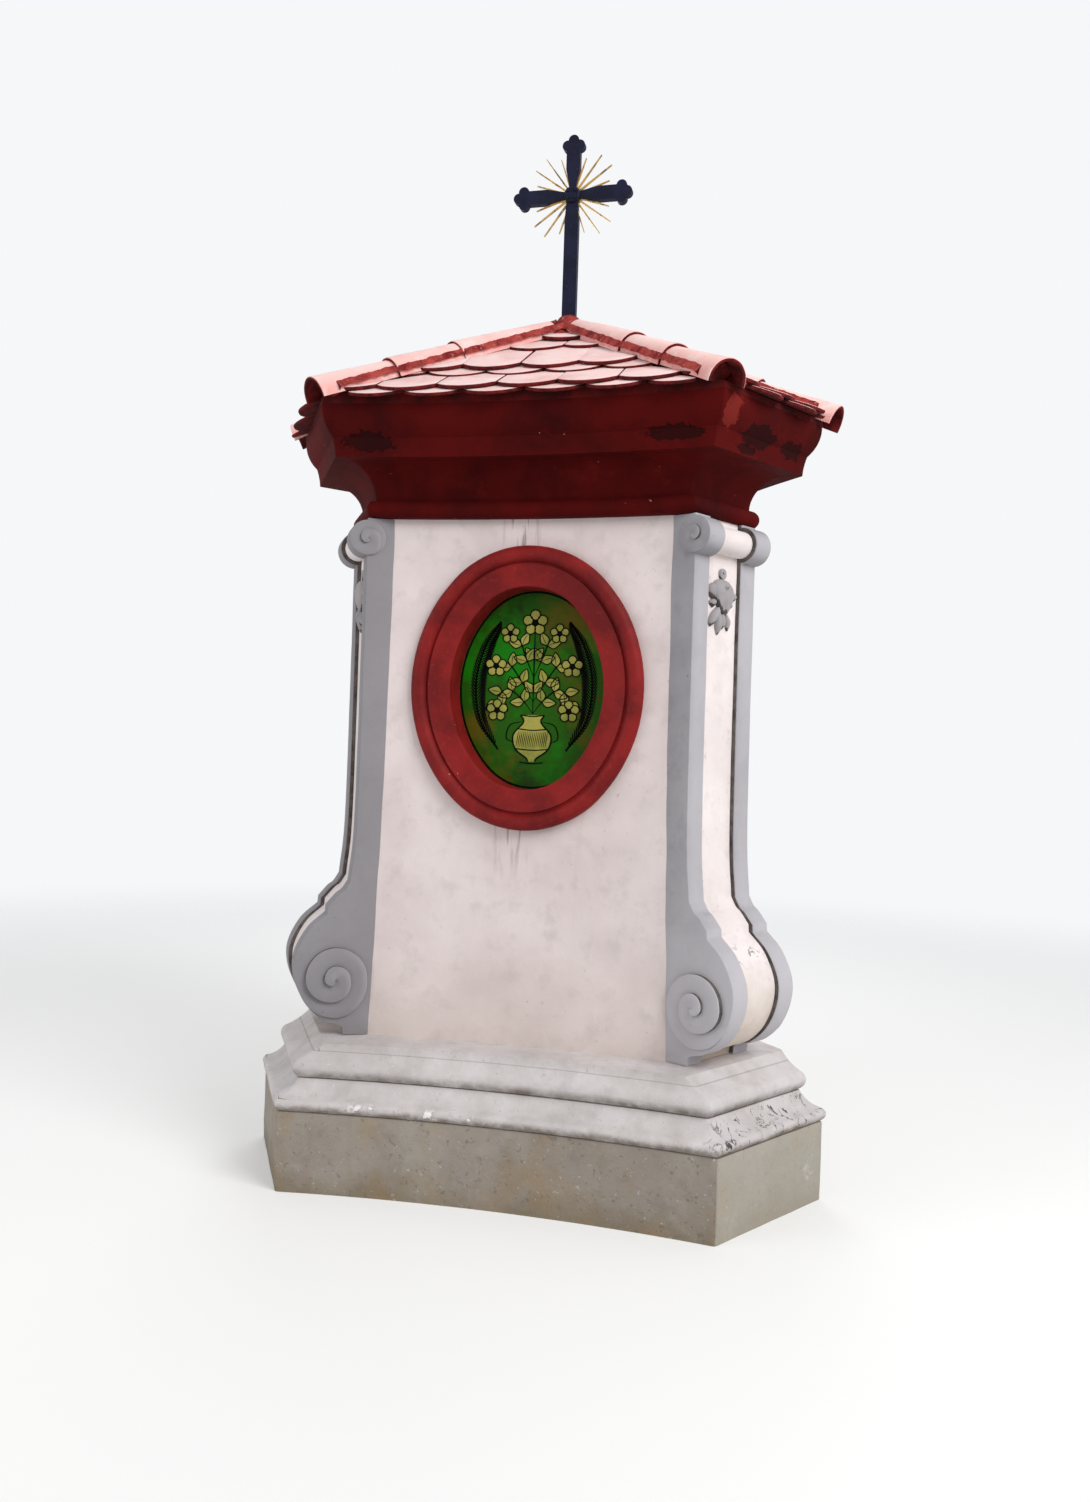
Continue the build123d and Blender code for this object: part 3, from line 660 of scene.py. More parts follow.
def mouldings():
    eased = [(0.728, 0), (0.7295, 0.06), (0.7295, 0.13), (0.7295, 0.2), (0.7295, 0.244),
             (0.7275, 0.2505), (0.7235, 0.253)]
    course("plinth", eased, BASE_OUT, PLINTH, "plinth_render", BASE_WEAR, arris=0.01)
    lower = arc3((0.722, 0.253), (0.739, 0.273), (0.731, 0.290), 10)
    lower += arc3((0.731, 0.290), (0.688, 0.313), (0.664, 0.345), 8)[1:]
    course("lower_base_moulding", lower, BASE_OUT, BASE, "base_render", BASE_WEAR, arris=0.008)
    upper = arc3((0.652, 0.345), (0.682, 0.376), (0.669, 0.404), 12)
    upper += arc3((0.669, 0.404), (0.647, 0.428), (0.638, 0.455), 7)[1:]
    course("upper_base_moulding", upper, BASE_OUT, BASE, "base_render", BASE_WEAR,
           sweep=(0.053, 0.404), arris=0.008)
    for name, profile in (
            ("cornice_bead", arc3((0.499, 2.160), (0.514, 2.186), (0.500, 2.214), 10)),
            ("cornice_cavetto", arc3((0.484, 2.214), (0.503, 2.279), (0.578, 2.330), 10)),
            ("cornice_fascia", [(0.630, 2.330), (0.632, 2.350), (0.636, 2.370), (0.640, 2.385),
                                (0.642, 2.390)]),
            ("cornice_cove", arc3((0.641, 2.390), (0.671, 2.435), (0.680, 2.488), 10))):
        course(name, profile, CORNICE_OUT, CORNICE, "cornice_red", CORNICE_WEAR)


mouldings()


# Pilasters, drawn as in the CAD: X outwards from the axis, Z up, T across
PILASTER_HALF, PILASTER_BACK, PANEL_HALF, PANEL_DEPTH = 0.165, 0.600, 0.084, 0.016
WALL_FOOT, WALL_TOP = 0.455, 2.160
SHAFT = [(0.719, 2.030), (0.719, 1.690), (0.723, 1.160), (0.738, 0.960)]
NECK = [(0.738, 0.960), (0.757, 0.930), (0.776, 0.915), (0.808, 0.878)]
SCROLL = [(0.810, 0.854), (0.868, 0.800), (0.909, 0.717), (0.907, 0.637), (0.872, 0.560),
          (0.815, 0.506), (0.762, 0.488)]
SCROLL_FOOT = [(0.750, 0.478), (0.746, 0.455)]
ROLL_X, ROLL_Z, ROLL_R, ROLL_PROUD = 0.7165, 2.0925, 0.060, 0.003
VOLUTE_X, VOLUTE_Z = 0.780, 0.642
RIM, PANEL_RIM, ROLL_RIM, ROLL_POINTS, WEAR = 0.004, 0.0005, 0.003, 40, 0.002


def pilaster_profile(inset):
    """Outline of a pilaster from its top at the back, down the front to its foot."""
    front = [(ROLL_X, WALL_TOP)] + smooth_line(SHAFT, 9) + smooth_line(NECK, 6)[1:]
    front += smooth_line(SCROLL, 8) + SCROLL_FOOT
    front = [(x - inset, z) for x, z in front]
    return [(PILASTER_BACK, WALL_TOP)] + front + [(PILASTER_BACK, WALL_FOOT)]


def slab(bm, outline, t0, t1, ease, first_cap=0):
    """Prism across T with its two rims eased."""
    loops = []
    for t, inset in ((t0, ease), (t0 + ease * 0.3, ease * 0.3), (t0 + ease, 0), (t1 - ease, 0),
                     (t1 - ease * 0.3, ease * 0.3), (t1, ease)):
        loops.append([(x, -t, z) for x, z in moved(outline, [inset] * len(outline))])
    skin(bm, loops, first_cap)


def drum(bm, x, z, radius, t0, t1, ease, first_cap=0):
    """Roll lying across T."""
    loops = []
    for t, inset in ((t0, ease), (t0 + ease, 0), (t1 - ease, 0), (t1 - ease * 0.3, ease * 0.3),
                     (t1, ease)):
        loops.append([(px, -t, pz) for px, pz in circle(x, z, radius - inset, ROLL_POINTS)])
    skin(bm, loops, first_cap)


# Spirals: degrees from point to point, depth of the first turn's rim below the face, and the
# angle by which the ramp stands proud
WHORL_STEP, WHORL_SINK, PROUD_BY = 6, 0.006, 50


def whorl(bm, x, z, face, start, reach, rise, lead, ease):
    """Spiral ramp on a side face, turning inwards: reach gives the radius after each angle.

    The ramp starts flush with the face, stands proud by lead soon after and climbs by rise in
    every turn, so that each turn ends in a step that deepens inwards, down to the eye.
    """
    def radius(angle):
        for (a0, r0), (a1, r1) in zip(reach, reach[1:]):
            if angle <= a1:
                share = (angle - a0) / (a1 - a0)
                share = share * share * (3 - 2 * share) * 0.35 + share * 0.65
                return r0 + (r1 - r0) * share

    last = reach[-1][0]
    rows = []
    for angle in range(0, last + 1, WHORL_STEP):
        out = radius(angle)
        inner = radius(angle + 360) if angle + 360 <= last else 0.0
        proud = min(angle / PROUD_BY, 1.0)
        high = face + lead * proud + rise * angle / 360
        low = high - rise if angle >= 360 + PROUD_BY else face - WHORL_SINK
        theta = radians(start - angle)
        rows.append([(x + r * cos(theta), -t, z + r * sin(theta)) for r, t in (
            (out, low), (out, high - ease), (out - ease * 0.35, high - ease * 0.3),
            (out - ease, high), ((out + inner) / 2, high + 0.0015 * proud),
            (max(inner - 0.002, 0.0), high))])
    # Step faces wear the second material: painted shade at the steps
    sheet(bm, rows, closed=False, second=lambda j, k: k == 0)


VOLUTE_REACH = [(0, 0.118), (40, 0.126), (80, 0.130), (160, 0.108), (250, 0.103), (340, 0.096),
                (430, 0.075), (520, 0.052), (610, 0.046), (700, 0.036), (780, 0.020)]
ROLL_REACH = [(0, 0.0595), (60, 0.0580), (100, 0.0555), (150, 0.0420), (230, 0.0310),
              (320, 0.0250), (390, 0.0210), (450, 0.0120)]


def border(side):
    """Painted border of a pilaster with its share of the roll, and its spirals."""
    bm = bmesh.new()
    roll_end = PILASTER_HALF + ROLL_PROUD
    # The caps toward the panel wear the second material: painted shade in the groove
    slab(bm, pilaster_profile(0), PANEL_HALF, PILASTER_HALF, RIM, first_cap=1)
    drum(bm, ROLL_X, ROLL_Z, ROLL_R, PANEL_HALF, roll_end, ROLL_RIM, first_cap=1)
    whorl(bm, ROLL_X, ROLL_Z, roll_end, -30, ROLL_REACH, rise=0.0075, lead=0.0025, ease=0.002)
    whorl(bm, VOLUTE_X, VOLUTE_Z, PILASTER_HALF, -20, VOLUTE_REACH, rise=0.014, lead=0.007,
          ease=0.004)
    if side < 0:
        bmesh.ops.scale(bm, verts=bm.verts, vec=(1, -1, 1))
    return bm


def pilasters():
    for name, deg in CORNERS.items():
        for tag, side in (("a", 1), ("b", -1)):
            bm = border(side)
            spin(bm, deg)
            settle(bm, WEAR, 7.0, deg)
            node = "scroll_" + name + "_" + tag
            piece(node + "_run", bm, GREY, "grey_render", node, second=SHADE_AND_DIRT)
        bm = bmesh.new()
        slab(bm, pilaster_profile(PANEL_DEPTH), -PANEL_HALF, PANEL_HALF, PANEL_RIM)
        drum(bm, ROLL_X, ROLL_Z, ROLL_R - PANEL_DEPTH, -PANEL_HALF, PANEL_HALF, PANEL_RIM)
        spin(bm, deg)
        settle(bm, WEAR, 6.0, deg)
        piece("panel_" + name + "_run", bm, CREAM, "cream_render", "panel_" + name)


pilasters()


# Oval frame and picture
OVAL_Z, OVAL_RX, OVAL_RZ, OVAL_END_R, OVAL_POINTS = 1.610, 0.388, 0.461, 0.340, 28
FRAME_W, FRAME_FRONT, WALL_REACH, CORE_A, PICTURE_T = 0.133, 0.479, 0.452, 0.330, 0.014


def oval(inset, points):
    """Points round the four-centred oval about its middle, with as many on each arc."""
    rise, flat = OVAL_RZ - OVAL_END_R, OVAL_RX - OVAL_END_R
    side_r = (OVAL_RX ** 2 + rise ** 2 - OVAL_END_R ** 2) / (2 * flat)
    reach = side_r - OVAL_RX
    join = atan2(rise, reach)
    line = []
    for cx, cz, r, first, turn in ((-reach, 0, side_r, -join, 2 * join),
                                   (0, rise, OVAL_END_R, join, pi - 2 * join),
                                   (reach, 0, side_r, pi - join, 2 * join),
                                   (0, -rise, OVAL_END_R, pi + join, pi - 2 * join)):
        for k in range(points):
            a = first + turn * k / points
            line.append((cx + (r - inset) * cos(a), cz + (r - inset) * sin(a)))
    return line


def oval_frame(name, deg):
    front = FRAME_FRONT
    torus = arc3((0, WALL_REACH), (0.025, front), (0.052, front - 0.017), 12)
    groove = [(0.0545, front - 0.0235), (0.0575, front - 0.0235)]
    band = arc3((0.060, front - 0.0155), (0.098, front - 0.025), (0.130, front - 0.0275), 8)
    lip = [(0.1325, front - 0.029), (FRAME_W, front - 0.032), (FRAME_W, 0.40), (FRAME_W, CORE_A)]
    section = [(0, CORE_A), (0, 0.41)] + torus + groove + band + lip
    bm = bmesh.new()
    sheet(bm, [[(x, -depth, OVAL_Z + z) for x, z in oval(inset, OVAL_POINTS)]
               for inset, depth in section], ring=True)
    spin(bm, deg)
    settle(bm, 0.0016, 11.0, deg)
    piece("oval_frame_" + name + "_run", bm, FRAME_RED, "frame_red", "oval_frame_" + name,
          sharp=50)


for side_name, side_deg in SIDES.items():
    oval_frame(side_name, side_deg)


# Walls: hollow in plan, leaning in a little, with the oval left open under the frame
WALL_FOOT_A, WALL_MID_A, WALL_TOP_A, WALL_MID = 0.485, 0.476, 0.470, 1.060
WALL_BACK, FRAME_LAP, PER_EDGE, RINGS = 0.400, 0.030, 44, 26
WALL_OUT, WALL_UNEVEN, WALL_LAP = 0.0015, 0.0016, 0.004


def wall_a(z):
    """Distance of the wall's ends from the axis at height z."""
    high = WALL_TOP - WALL_FOOT
    up, mid = (z - WALL_FOOT) / high, (WALL_MID - WALL_FOOT) / high
    bend = (WALL_MID_A - WALL_FOOT_A - (WALL_TOP_A - WALL_FOOT_A) * mid) / (mid * (mid - 1))
    return WALL_FOOT_A + (WALL_TOP_A - WALL_FOOT_A) * up + bend * up * (up - 1)


def wall_y(x, z):
    a = wall_a(z)
    s = (a / 2 + BASE_OUT) / cos(radians(30))
    return a - s * tan(radians(BOW / 2)) * (1 - (x / s) ** 2)


def wall_end(z):
    """Where the wall runs into the side of the pilaster, found in a few steps."""
    x = 0.48
    for _ in range(4):
        x = (wall_y(x, z) * cos(radians(30)) - PILASTER_HALF) / sin(radians(30))
    return x + WALL_LAP


def oval_reach(path, angle):
    """Distance from the oval's centre to its path in the direction of angle."""
    for (x0, z0), (x1, z1) in zip(path, path[1:] + path[:1]):
        a0, a1 = atan2(z0, x0), atan2(z1, x1)
        step = (a1 - a0) % (2 * pi)
        if (angle - a0) % (2 * pi) <= step:
            share = ((angle - a0) % (2 * pi)) / step
            return hypot(x0, z0) * (1 - share) + hypot(x1, z1) * share
    return OVAL_RX


def wall(name, deg):
    edge = []
    for k in range(4 * PER_EDGE):
        side, f = divmod(k / PER_EDGE, 1)
        x, z = ((-1 + 2 * f, 0), (1, f), (1 - 2 * f, 1), (-1, 1 - f))[int(side)]
        z = WALL_FOOT + (WALL_TOP - WALL_FOOT) * z
        edge.append((x * wall_end(z), z))
    path = oval(0, OVAL_POINTS)
    inner = []
    for x, z in edge:
        angle = atan2(z - OVAL_Z, x)
        reach = oval_reach(path, angle) - FRAME_LAP
        inner.append((reach * cos(angle), OVAL_Z + reach * sin(angle)))
    rows = []
    for ring in range(RINGS + 1):
        f = ring / RINGS
        row = []
        for (x0, z0), (x1, z1) in zip(inner, edge):
            x, z = x0 + (x1 - x0) * f, z0 + (z1 - z0) * f
            uneven = WALL_UNEVEN * noise.noise(Vector((x * 6, z * 6, deg)))
            row.append((x, -wall_y(x, z) + WALL_OUT + uneven, z))
        rows.append(row)
    rows += [[(x, -WALL_BACK, z) for x, z in line] for line in (edge, inner)]
    bm = bmesh.new()
    sheet(bm, rows, ring=True)
    spin(bm, deg)
    piece("wall_" + name + "_face", bm, WALL, "wall_render", "wall_" + name)


for side_name, side_deg in SIDES.items():
    wall(side_name, side_deg)


# Roof, on the CAD's six slopes: U along an eave, T from the apex (0) to the eave (1)
EAVE_A, EAVE_OUT, EAVE_Z, APEX_Z = 0.738, 0.204, 2.512, 2.945
EAVE_S = (EAVE_A + EAVE_OUT - EAVE_A / 2) / cos(radians(30))
EAVE_SAG = EAVE_S * tan(radians(BOW / 2))
EAVE_REACH = hypot(EAVE_S, EAVE_A)
HIP_AT = degrees(atan2(EAVE_S, EAVE_A))
CORNER_AT = EAVE_REACH * cos(radians(60 - HIP_AT))
CORNER_S = EAVE_REACH * sin(radians(60 - HIP_AT))
ROOF_RISE = APEX_Z - EAVE_Z

# Tiles: levels give the height in a tile's thickness and how far the rim is set in there.
# Strays are the most that one tile is off sideways, along, in height, in turn and in tip
TILE_PITCH, TILE_W, TILE_LONG = 0.193, 0.1905, 0.38
NOSE_R, NOSE_LONG, NOSE_HALF, NOSE_POINTS = 0.112, 0.05, 0.012, 6
TILE_LEVELS = [(0.0, 0.0015), (0.002, 0.0), (0.0085, 0.0), (0.0105, 0.0012), (0.0115, 0.004)]
TILE_STRAYS = (0.002, 0.003, 0.001, 0.010, 0.012)

# Pairs of rows, each an under row and a cover row. A row gives its lower end, the sideways
# shift of its joints, its height there, how far it drops by its upper end, and how far from
# the hip lines it stops
ROWS = [(1.010, 0.111, -0.0175, 0.036, 0.064), (0.978, 0.020, -0.0055, 0.042, 0.060),
        (0.765, 0.131, -0.0175, 0.022, 0.050), (0.715, 0.045, -0.0055, 0.026, 0.048),
        (0.410, 0.135, -0.0110, 0.036, 0.044), (0.268, 0.030, -0.0060, 0.030, 0.044)]


def slope_spot(slope, u, t, h):
    """Point on a slope, h metres above its surface, before it is turned into place."""
    middle, end, sag = slope
    v = middle + sag * ((u / max(t, 0.05)) / end) ** 2
    pitch = atan2(ROOF_RISE, middle)
    return Vector((u, -v * t - h * sin(pitch), APEX_Z - ROOF_RISE * t + h * cos(pitch)))


def tile_rows():
    """Rows of a tile from its rounded lower end up: half width and place along it."""
    half = TILE_W / 2
    sagitta = NOSE_R - sqrt(NOSE_R ** 2 - half ** 2)
    rows = []
    for k in range(NOSE_POINTS + 1):
        along = sagitta * (1 - cos(pi / 2 * k / NOSE_POINTS))
        reach = sqrt(NOSE_R ** 2 - (NOSE_R - along) ** 2)
        rows.append((min(max(reach, NOSE_HALF), half), along))
    return rows + [(half, TILE_LONG * f) for f in (0.25, 0.5, 0.75, 1.0)]


def tile(bm, slope, u, t, lift, turn, tip, drop):
    """One plain tile: a slab with a rounded lower end and eased rims."""
    run = hypot(slope[0], ROOF_RISE)
    levels = []
    for face, inset in TILE_LEVELS:
        level = []
        for half, along in tile_rows():
            line = []
            for x in (-half + inset, -half * 0.5, 0.0, half * 0.5, half - inset):
                y = along + (inset if along < NOSE_LONG else 0)
                px = x * cos(turn) - y * sin(turn)
                py = x * sin(turn) + y * cos(turn)
                h = lift + face + tip * x - drop * along / TILE_LONG
                line.append(bm.verts.new(slope_spot(slope, u + px, t - py / run, h)))
            level.append(line)
        levels.append(level)
    rims = [[line[0] for line in level[::-1]] + level[0][1:] + [line[-1] for line in level[1:]]
            for level in levels]
    # Lower rims and the underside wear the second material: red paint and painted shade
    web(bm, rims, closed=False, second=lambda j, k: j < len(rims) - 2)
    web(bm, levels[0][::-1], closed=False, second=lambda j, k: 1)
    web(bm, levels[-1], closed=False)
    web(bm, [level[-1] for level in levels], closed=False)


def slope_row(row, slope, chance):
    """One row of tiles, cut off along the two hips of its slope."""
    t, shift, lift, drop, clear = row
    middle, end, sag = slope
    bm = bmesh.new()
    count = int(end * t / TILE_PITCH) + 2
    for k in range(-count, count + 1):
        u = shift + k * TILE_PITCH
        if abs(u) - TILE_W / 2 < end * t - clear:
            du, dt, dh, turn, tip = [chance.uniform(-most, most) for most in TILE_STRAYS]
            tile(bm, slope, u + du, t + dt, lift + dh, turn, tip, drop)
    for side in (1, -1):
        corner = Vector((side * end, -(middle + sag), 0)).normalized()
        across = Vector((-corner.y, corner.x, 0)) * side
        cut = bmesh.ops.bisect_plane(bm, geom=bm.verts[:] + bm.edges[:] + bm.faces[:],
                                     plane_co=-across * clear, plane_no=across,
                                     clear_outer=True)
        rims = [made for made in cut["geom_cut"] if isinstance(made, bmesh.types.BMEdge)]
        bmesh.ops.holes_fill(bm, edges=rims, sides=0)
    apex = [vert for vert in bm.verts if vert.co.z > APEX_Z + 0.02]
    bmesh.ops.delete(bm, geom=apex, context="VERTS")
    return bm


def slope_tiles(name, deg, slope, seed):
    """All the rows of a slope as one piece. A slope is its middle, half eave and sag."""
    chance = random.Random(seed)
    bm = bmesh.new()
    for row in ROWS:
        merge(bm, slope_row(row, slope, chance))
    spin(bm, deg)
    piece("tiles_" + name, bm, TILE, "roof_tile", "roof_slope_" + name, second=RED_EDGE_AND_SHADE)


for k, (side_name, side_deg) in enumerate(SIDES.items()):
    slope_tiles(side_name, side_deg, (EAVE_A - EAVE_SAG, EAVE_S, EAVE_SAG), 11 + k)
for k, (corner_name, corner_deg) in enumerate(CORNERS.items()):
    slope_tiles("corner_" + corner_name, corner_deg + 90, (CORNER_AT, CORNER_S, 0.0), 31 + k)


# Hip tiles: half-round, three to a hip, lapping upwards and bedded in mortar. Strays are the
# most that one is off along the hip, and how much it sways
HIP_STEPS, HIP_LENGTH, END_R, HEAD_R = [0, 0.27, 0.51], 0.42, 0.066, 0.052
HIP_BACK, HIP_SINK, SHELL, SHELL_FROM, SHELL_TURN = 0.030, 0.030, 0.011, -8, 196
SHELL_POINTS, HIP_STRAY, HIP_SWAY = 24, 0.005, 0.012
HIP_RUN = hypot(EAVE_REACH, ROOF_RISE)

# Mortar beds: from where to where along a hip, how fast they fall on either side, what share
# of their half width swells out, and how much of the tile's radius the rest fills
BED_START, BED_STOP, BED_POINTS, BED_SPOKES = 0.060, HIP_RUN - HIP_BACK - 0.03, 120, 22
MAIN_FALL, CORNER_FALL, BED_SWELL, BED_UNDER = 0.39, 0.143, 0.45, 0.86
BED_FOOT, BED_DEEP = 0.8, 0.012


def hip_point(deg, at, side, height):
    """Point at metres up the hip from its lowest tile, sideways and above the tiles' axis."""
    flat = Vector((cos(radians(deg)), sin(radians(deg)), 0))
    rise = (flat * -EAVE_REACH + Vector((0, 0, ROOF_RISE))).normalized()
    across = Vector((-flat.y, flat.x, 0))
    corner = Vector((0, 0, APEX_Z)) - rise * HIP_RUN
    foot = corner + rise * HIP_BACK - Vector((0, 0, HIP_SINK))
    return foot + rise * at + across * side + across.cross(rise) * height


def hip_tile(bm, deg, step, chance):
    """One half-round shell, its lower end resting on the tile below."""
    start = step * HIP_RUN + (0 if step == 0 else chance.uniform(-HIP_STRAY, HIP_STRAY))
    sway = chance.uniform(-HIP_SWAY, HIP_SWAY)
    outer = [(0.0, -0.0022), (0.0015, 0.0), (0.07, 0), (0.14, 0), (0.21, 0), (0.28, 0), (0.35, 0),
             (HIP_LENGTH, 0)]
    inner = [(HIP_LENGTH, -SHELL), (0.06, -SHELL), (0.0015, -SHELL), (0.0, -SHELL + 0.002)]
    rows = []
    for at, inward in outer + inner:
        radius = END_R + (HEAD_R - END_R) * at / HIP_LENGTH + inward
        row = []
        for k in range(SHELL_POINTS + 1):
            a = radians(SHELL_FROM + SHELL_TURN * k / SHELL_POINTS)
            r = radius + 0.0012 * noise.noise(Vector((at * 14, k * 0.4, deg + step * 9)))
            row.append(hip_point(deg, start + at, r * cos(a) + sway * at, r * sin(a)))
        rows.append(row)
    # The inside, the ends and the long edges of the shell wear the second material: painted shade
    made = sheet(bm, rows, closed=False, ring=True, second=lambda j, k: j >= len(outer) - 1)
    for end in (0, -1):
        bm.faces.new([row[end] for row in made]).material_index = 1


def mortar_bed(bm, deg, turn):
    """Mortar that fills the tiles and swells out along both of their sides."""
    rows = []
    for k in range(BED_POINTS + 1):
        at = BED_START + (BED_STOP - BED_START) * k / BED_POINTS
        below = max(s * HIP_RUN for s in HIP_STEPS if s * HIP_RUN <= at)
        radius = END_R + (HEAD_R - END_R) * (at - below) / HIP_LENGTH
        row = []
        for m in range(BED_SPOKES + 1):
            s = -1 + 2 * m / BED_SPOKES
            side = 1 if s > 0 else -1
            fall = MAIN_FALL if side == turn else CORNER_FALL
            rough = noise.noise(Vector((at * 34, s * 5, deg)))
            fine = noise.noise(Vector((at * 110, s * 17, deg + 7)))
            reach = radius + 0.010 + 0.006 * noise.noise(Vector((at * 26, side * 3, deg)))
            under = radius * BED_UNDER
            ahead = 1 - abs(s)
            if ahead < BED_SWELL:
                share = ahead / BED_SWELL
                lateral = reach + (under - reach) * share
                height = HIP_SINK - fall * lateral + 0.004 + 0.019 * share ** 0.8
            else:
                share = (ahead - BED_SWELL) / (1 - BED_SWELL)
                lateral = under * (1 - share)
                height = min(HIP_SINK - fall * under + 0.023,
                             sqrt(radius ** 2 - lateral ** 2) - SHELL - 0.004)
            height += 0.0030 * rough + 0.0016 * fine
            row.append(hip_point(deg, at, side * lateral, height))
        rows.append(row)
    made = sheet(bm, rows, closed=False)
    foot = [bm.verts.new(hip_point(deg, BED_START, END_R * BED_FOOT * (-1 + 2 * m / BED_SPOKES),
                                   -BED_DEEP)) for m in range(BED_SPOKES + 1)]
    # The face under the bed's lower end wears the second material: painted shade
    web(bm, [made[0], foot], closed=False, second=lambda j, k: 1)


def hips():
    chance = random.Random(5)
    for name, deg in CORNERS.items():
        tiles, bed = bmesh.new(), bmesh.new()
        for turn in (-1, 1):
            at = deg + turn * (60 - HIP_AT)
            for step in HIP_STEPS:
                hip_tile(tiles, at, step, chance)
            mortar_bed(bed, at, turn)
        piece("hips_" + name, tiles, HIP_TILE, "hip_tile", "hip_tiles_" + name, sharp=50,
              second=RED_EDGE_AND_SHADE)
        piece("hip_mortar_" + name, bed, MORTAR, "mortar", sharp=75, second=RED_EDGE_AND_SHADE)


hips()

# Mortar where the hips meet, round the foot of the cross: radius and height of each level
PEAK = [(0.118, 2.872), (0.096, 2.888), (0.076, 2.906), (0.058, 2.930), (0.044, 2.950),
        (0.034, 2.962), (0.026, 2.968), (0.018, 2.970)]
PEAK_MOST, PEAK_POINTS = 0.119, 48


def mortar_peak():
    rows = []
    for radius, z in PEAK:
        row = []
        for c, s in circle(0, 0, 1, PEAK_POINTS):
            swell = 1 + 0.06 * noise.noise(Vector((c * 2.5, s * 2.5, z * 20)))
            r = min(radius * swell, PEAK_MOST)
            sag = 0.004 * abs(noise.noise(Vector((c * 6, s * 6, z * 50))))
            row.append((r * c, r * s, z - sag))
        rows.append(row)
    bm = bmesh.new()
    skin(bm, rows)
    piece("mortar_peak", bm, MORTAR, "mortar", "roof_cap", sharp=70)


mortar_peak()


# Carved ornament under each roll: a button, a plump shell with lobes and hanging petals
PANEL_FACE = 0.719 - PANEL_DEPTH - 0.002

# Each relief is cut level by level: across, height, half width and how far it stands out
SHELL_LEVELS = [(0.004, 1.974, 0.010, 0.007), (0.003, 1.967, 0.032, 0.020),
                (0.002, 1.951, 0.050, 0.029), (0.000, 1.931, 0.056, 0.033),
                (-0.003, 1.911, 0.050, 0.032), (-0.008, 1.891, 0.036, 0.028),
                (-0.012, 1.873, 0.020, 0.022), (-0.015, 1.858, 0.006, 0.012)]
LOBES = [[(0.046, 1.957, 0.009, 0.008), (0.052, 1.946, 0.020, 0.018), (0.055, 1.929, 0.021, 0.021),
          (0.053, 1.915, 0.013, 0.017), (0.051, 1.908, 0.004, 0.008)],
         [(-0.050, 1.940, 0.009, 0.010), (-0.057, 1.927, 0.018, 0.018),
          (-0.058, 1.915, 0.014, 0.016), (-0.054, 1.905, 0.005, 0.008)],
         [(0.040, 1.908, 0.007, 0.008), (0.047, 1.899, 0.018, 0.016), (0.049, 1.889, 0.014, 0.014),
          (0.047, 1.880, 0.004, 0.006)],
         [(-0.044, 1.904, 0.006, 0.008), (-0.048, 1.894, 0.012, 0.013),
          (-0.047, 1.884, 0.004, 0.006)]]
PETALS = [[(0.020, 1.882, 0.009, 0.012), (0.031, 1.865, 0.019, 0.021), (0.043, 1.847, 0.020, 0.021),
           (0.052, 1.830, 0.014, 0.016), (0.056, 1.819, 0.004, 0.006)],
          [(0.012, 1.864, 0.008, 0.012), (0.014, 1.842, 0.015, 0.019), (0.016, 1.821, 0.015, 0.018),
           (0.017, 1.805, 0.009, 0.012), (0.018, 1.794, 0.003, 0.005)],
          [(-0.006, 1.862, 0.007, 0.012), (-0.006, 1.843, 0.011, 0.018),
           (-0.006, 1.827, 0.010, 0.015), (-0.005, 1.814, 0.003, 0.006)],
          [(-0.025, 1.862, 0.007, 0.012), (-0.031, 1.843, 0.012, 0.018),
           (-0.034, 1.826, 0.010, 0.014), (-0.036, 1.811, 0.003, 0.006)]]
SHELL_FOLDS, RELIEF_POINTS, DISC_POINTS, BUTTON_AT = 0.16, 20, 28, 1.990
EYE_T, EYE_Z, EYE_R, EYE_PIT_R = 0.006, 1.943, 0.0045, 0.0039

# Radius of the button and the eye, and how far each of their levels stands out
BUTTON = [(0.018, 0), (0.018, 0.008), (0.0172, 0.010), (0.015, 0.011), (0.005, 0.0095),
          (0.0035, 0.006), (0.001, 0.0055)]
EYE = [(EYE_R + 0.003, 0.026), (EYE_R + 0.0025, 0.0325), (EYE_R, 0.0335), (EYE_R - 0.001, 0.031),
       (0.001, 0.0305)]


def relief(bm, levels, folds=0.0):
    """Rounded relief on the panel, lofted through level sections."""
    rows = []
    for t, z, wide, out in smooth_line(levels, 4):
        row = []
        for m in range(RELIEF_POINTS + 1):
            a = pi * m / RELIEF_POINTS
            fold = 1 - folds * (0.5 + 0.5 * cos(6 * a)) * sin(a)
            row.append((PANEL_FACE + out * sin(a) ** 0.8 * fold, -(t + wide * cos(a)), z))
        rows.append(row)
    skin(bm, rows)


def disc(t, z, levels):
    """Round boss or pit on the panel."""
    bm = bmesh.new()
    skin(bm, [[(PANEL_FACE + out, -pt, pz) for pt, pz in circle(t, z, r, DISC_POINTS)]
              for r, out in levels])
    return bm


def carving(deg):
    bm = disc(0, BUTTON_AT, BUTTON)
    relief(bm, SHELL_LEVELS, SHELL_FOLDS)
    for levels in LOBES + PETALS:
        relief(bm, levels)
    settle(bm, 0.0010, 60.0, deg)
    bm.normal_update()
    # Faces turned down wear the second material: painted shade under the carving
    for face in bm.faces:
        face.material_index = int(face.normal.z < -0.5)
    eye = disc(EYE_T, EYE_Z, EYE)
    # The eye's pit wears the second material: painted shade
    for face in eye.faces:
        middle = face.calc_center_median()
        face.material_index = int(hypot(middle.y + EYE_T, middle.z - EYE_Z) < EYE_PIT_R)
    merge(bm, eye)
    spin(bm, deg)
    return bm


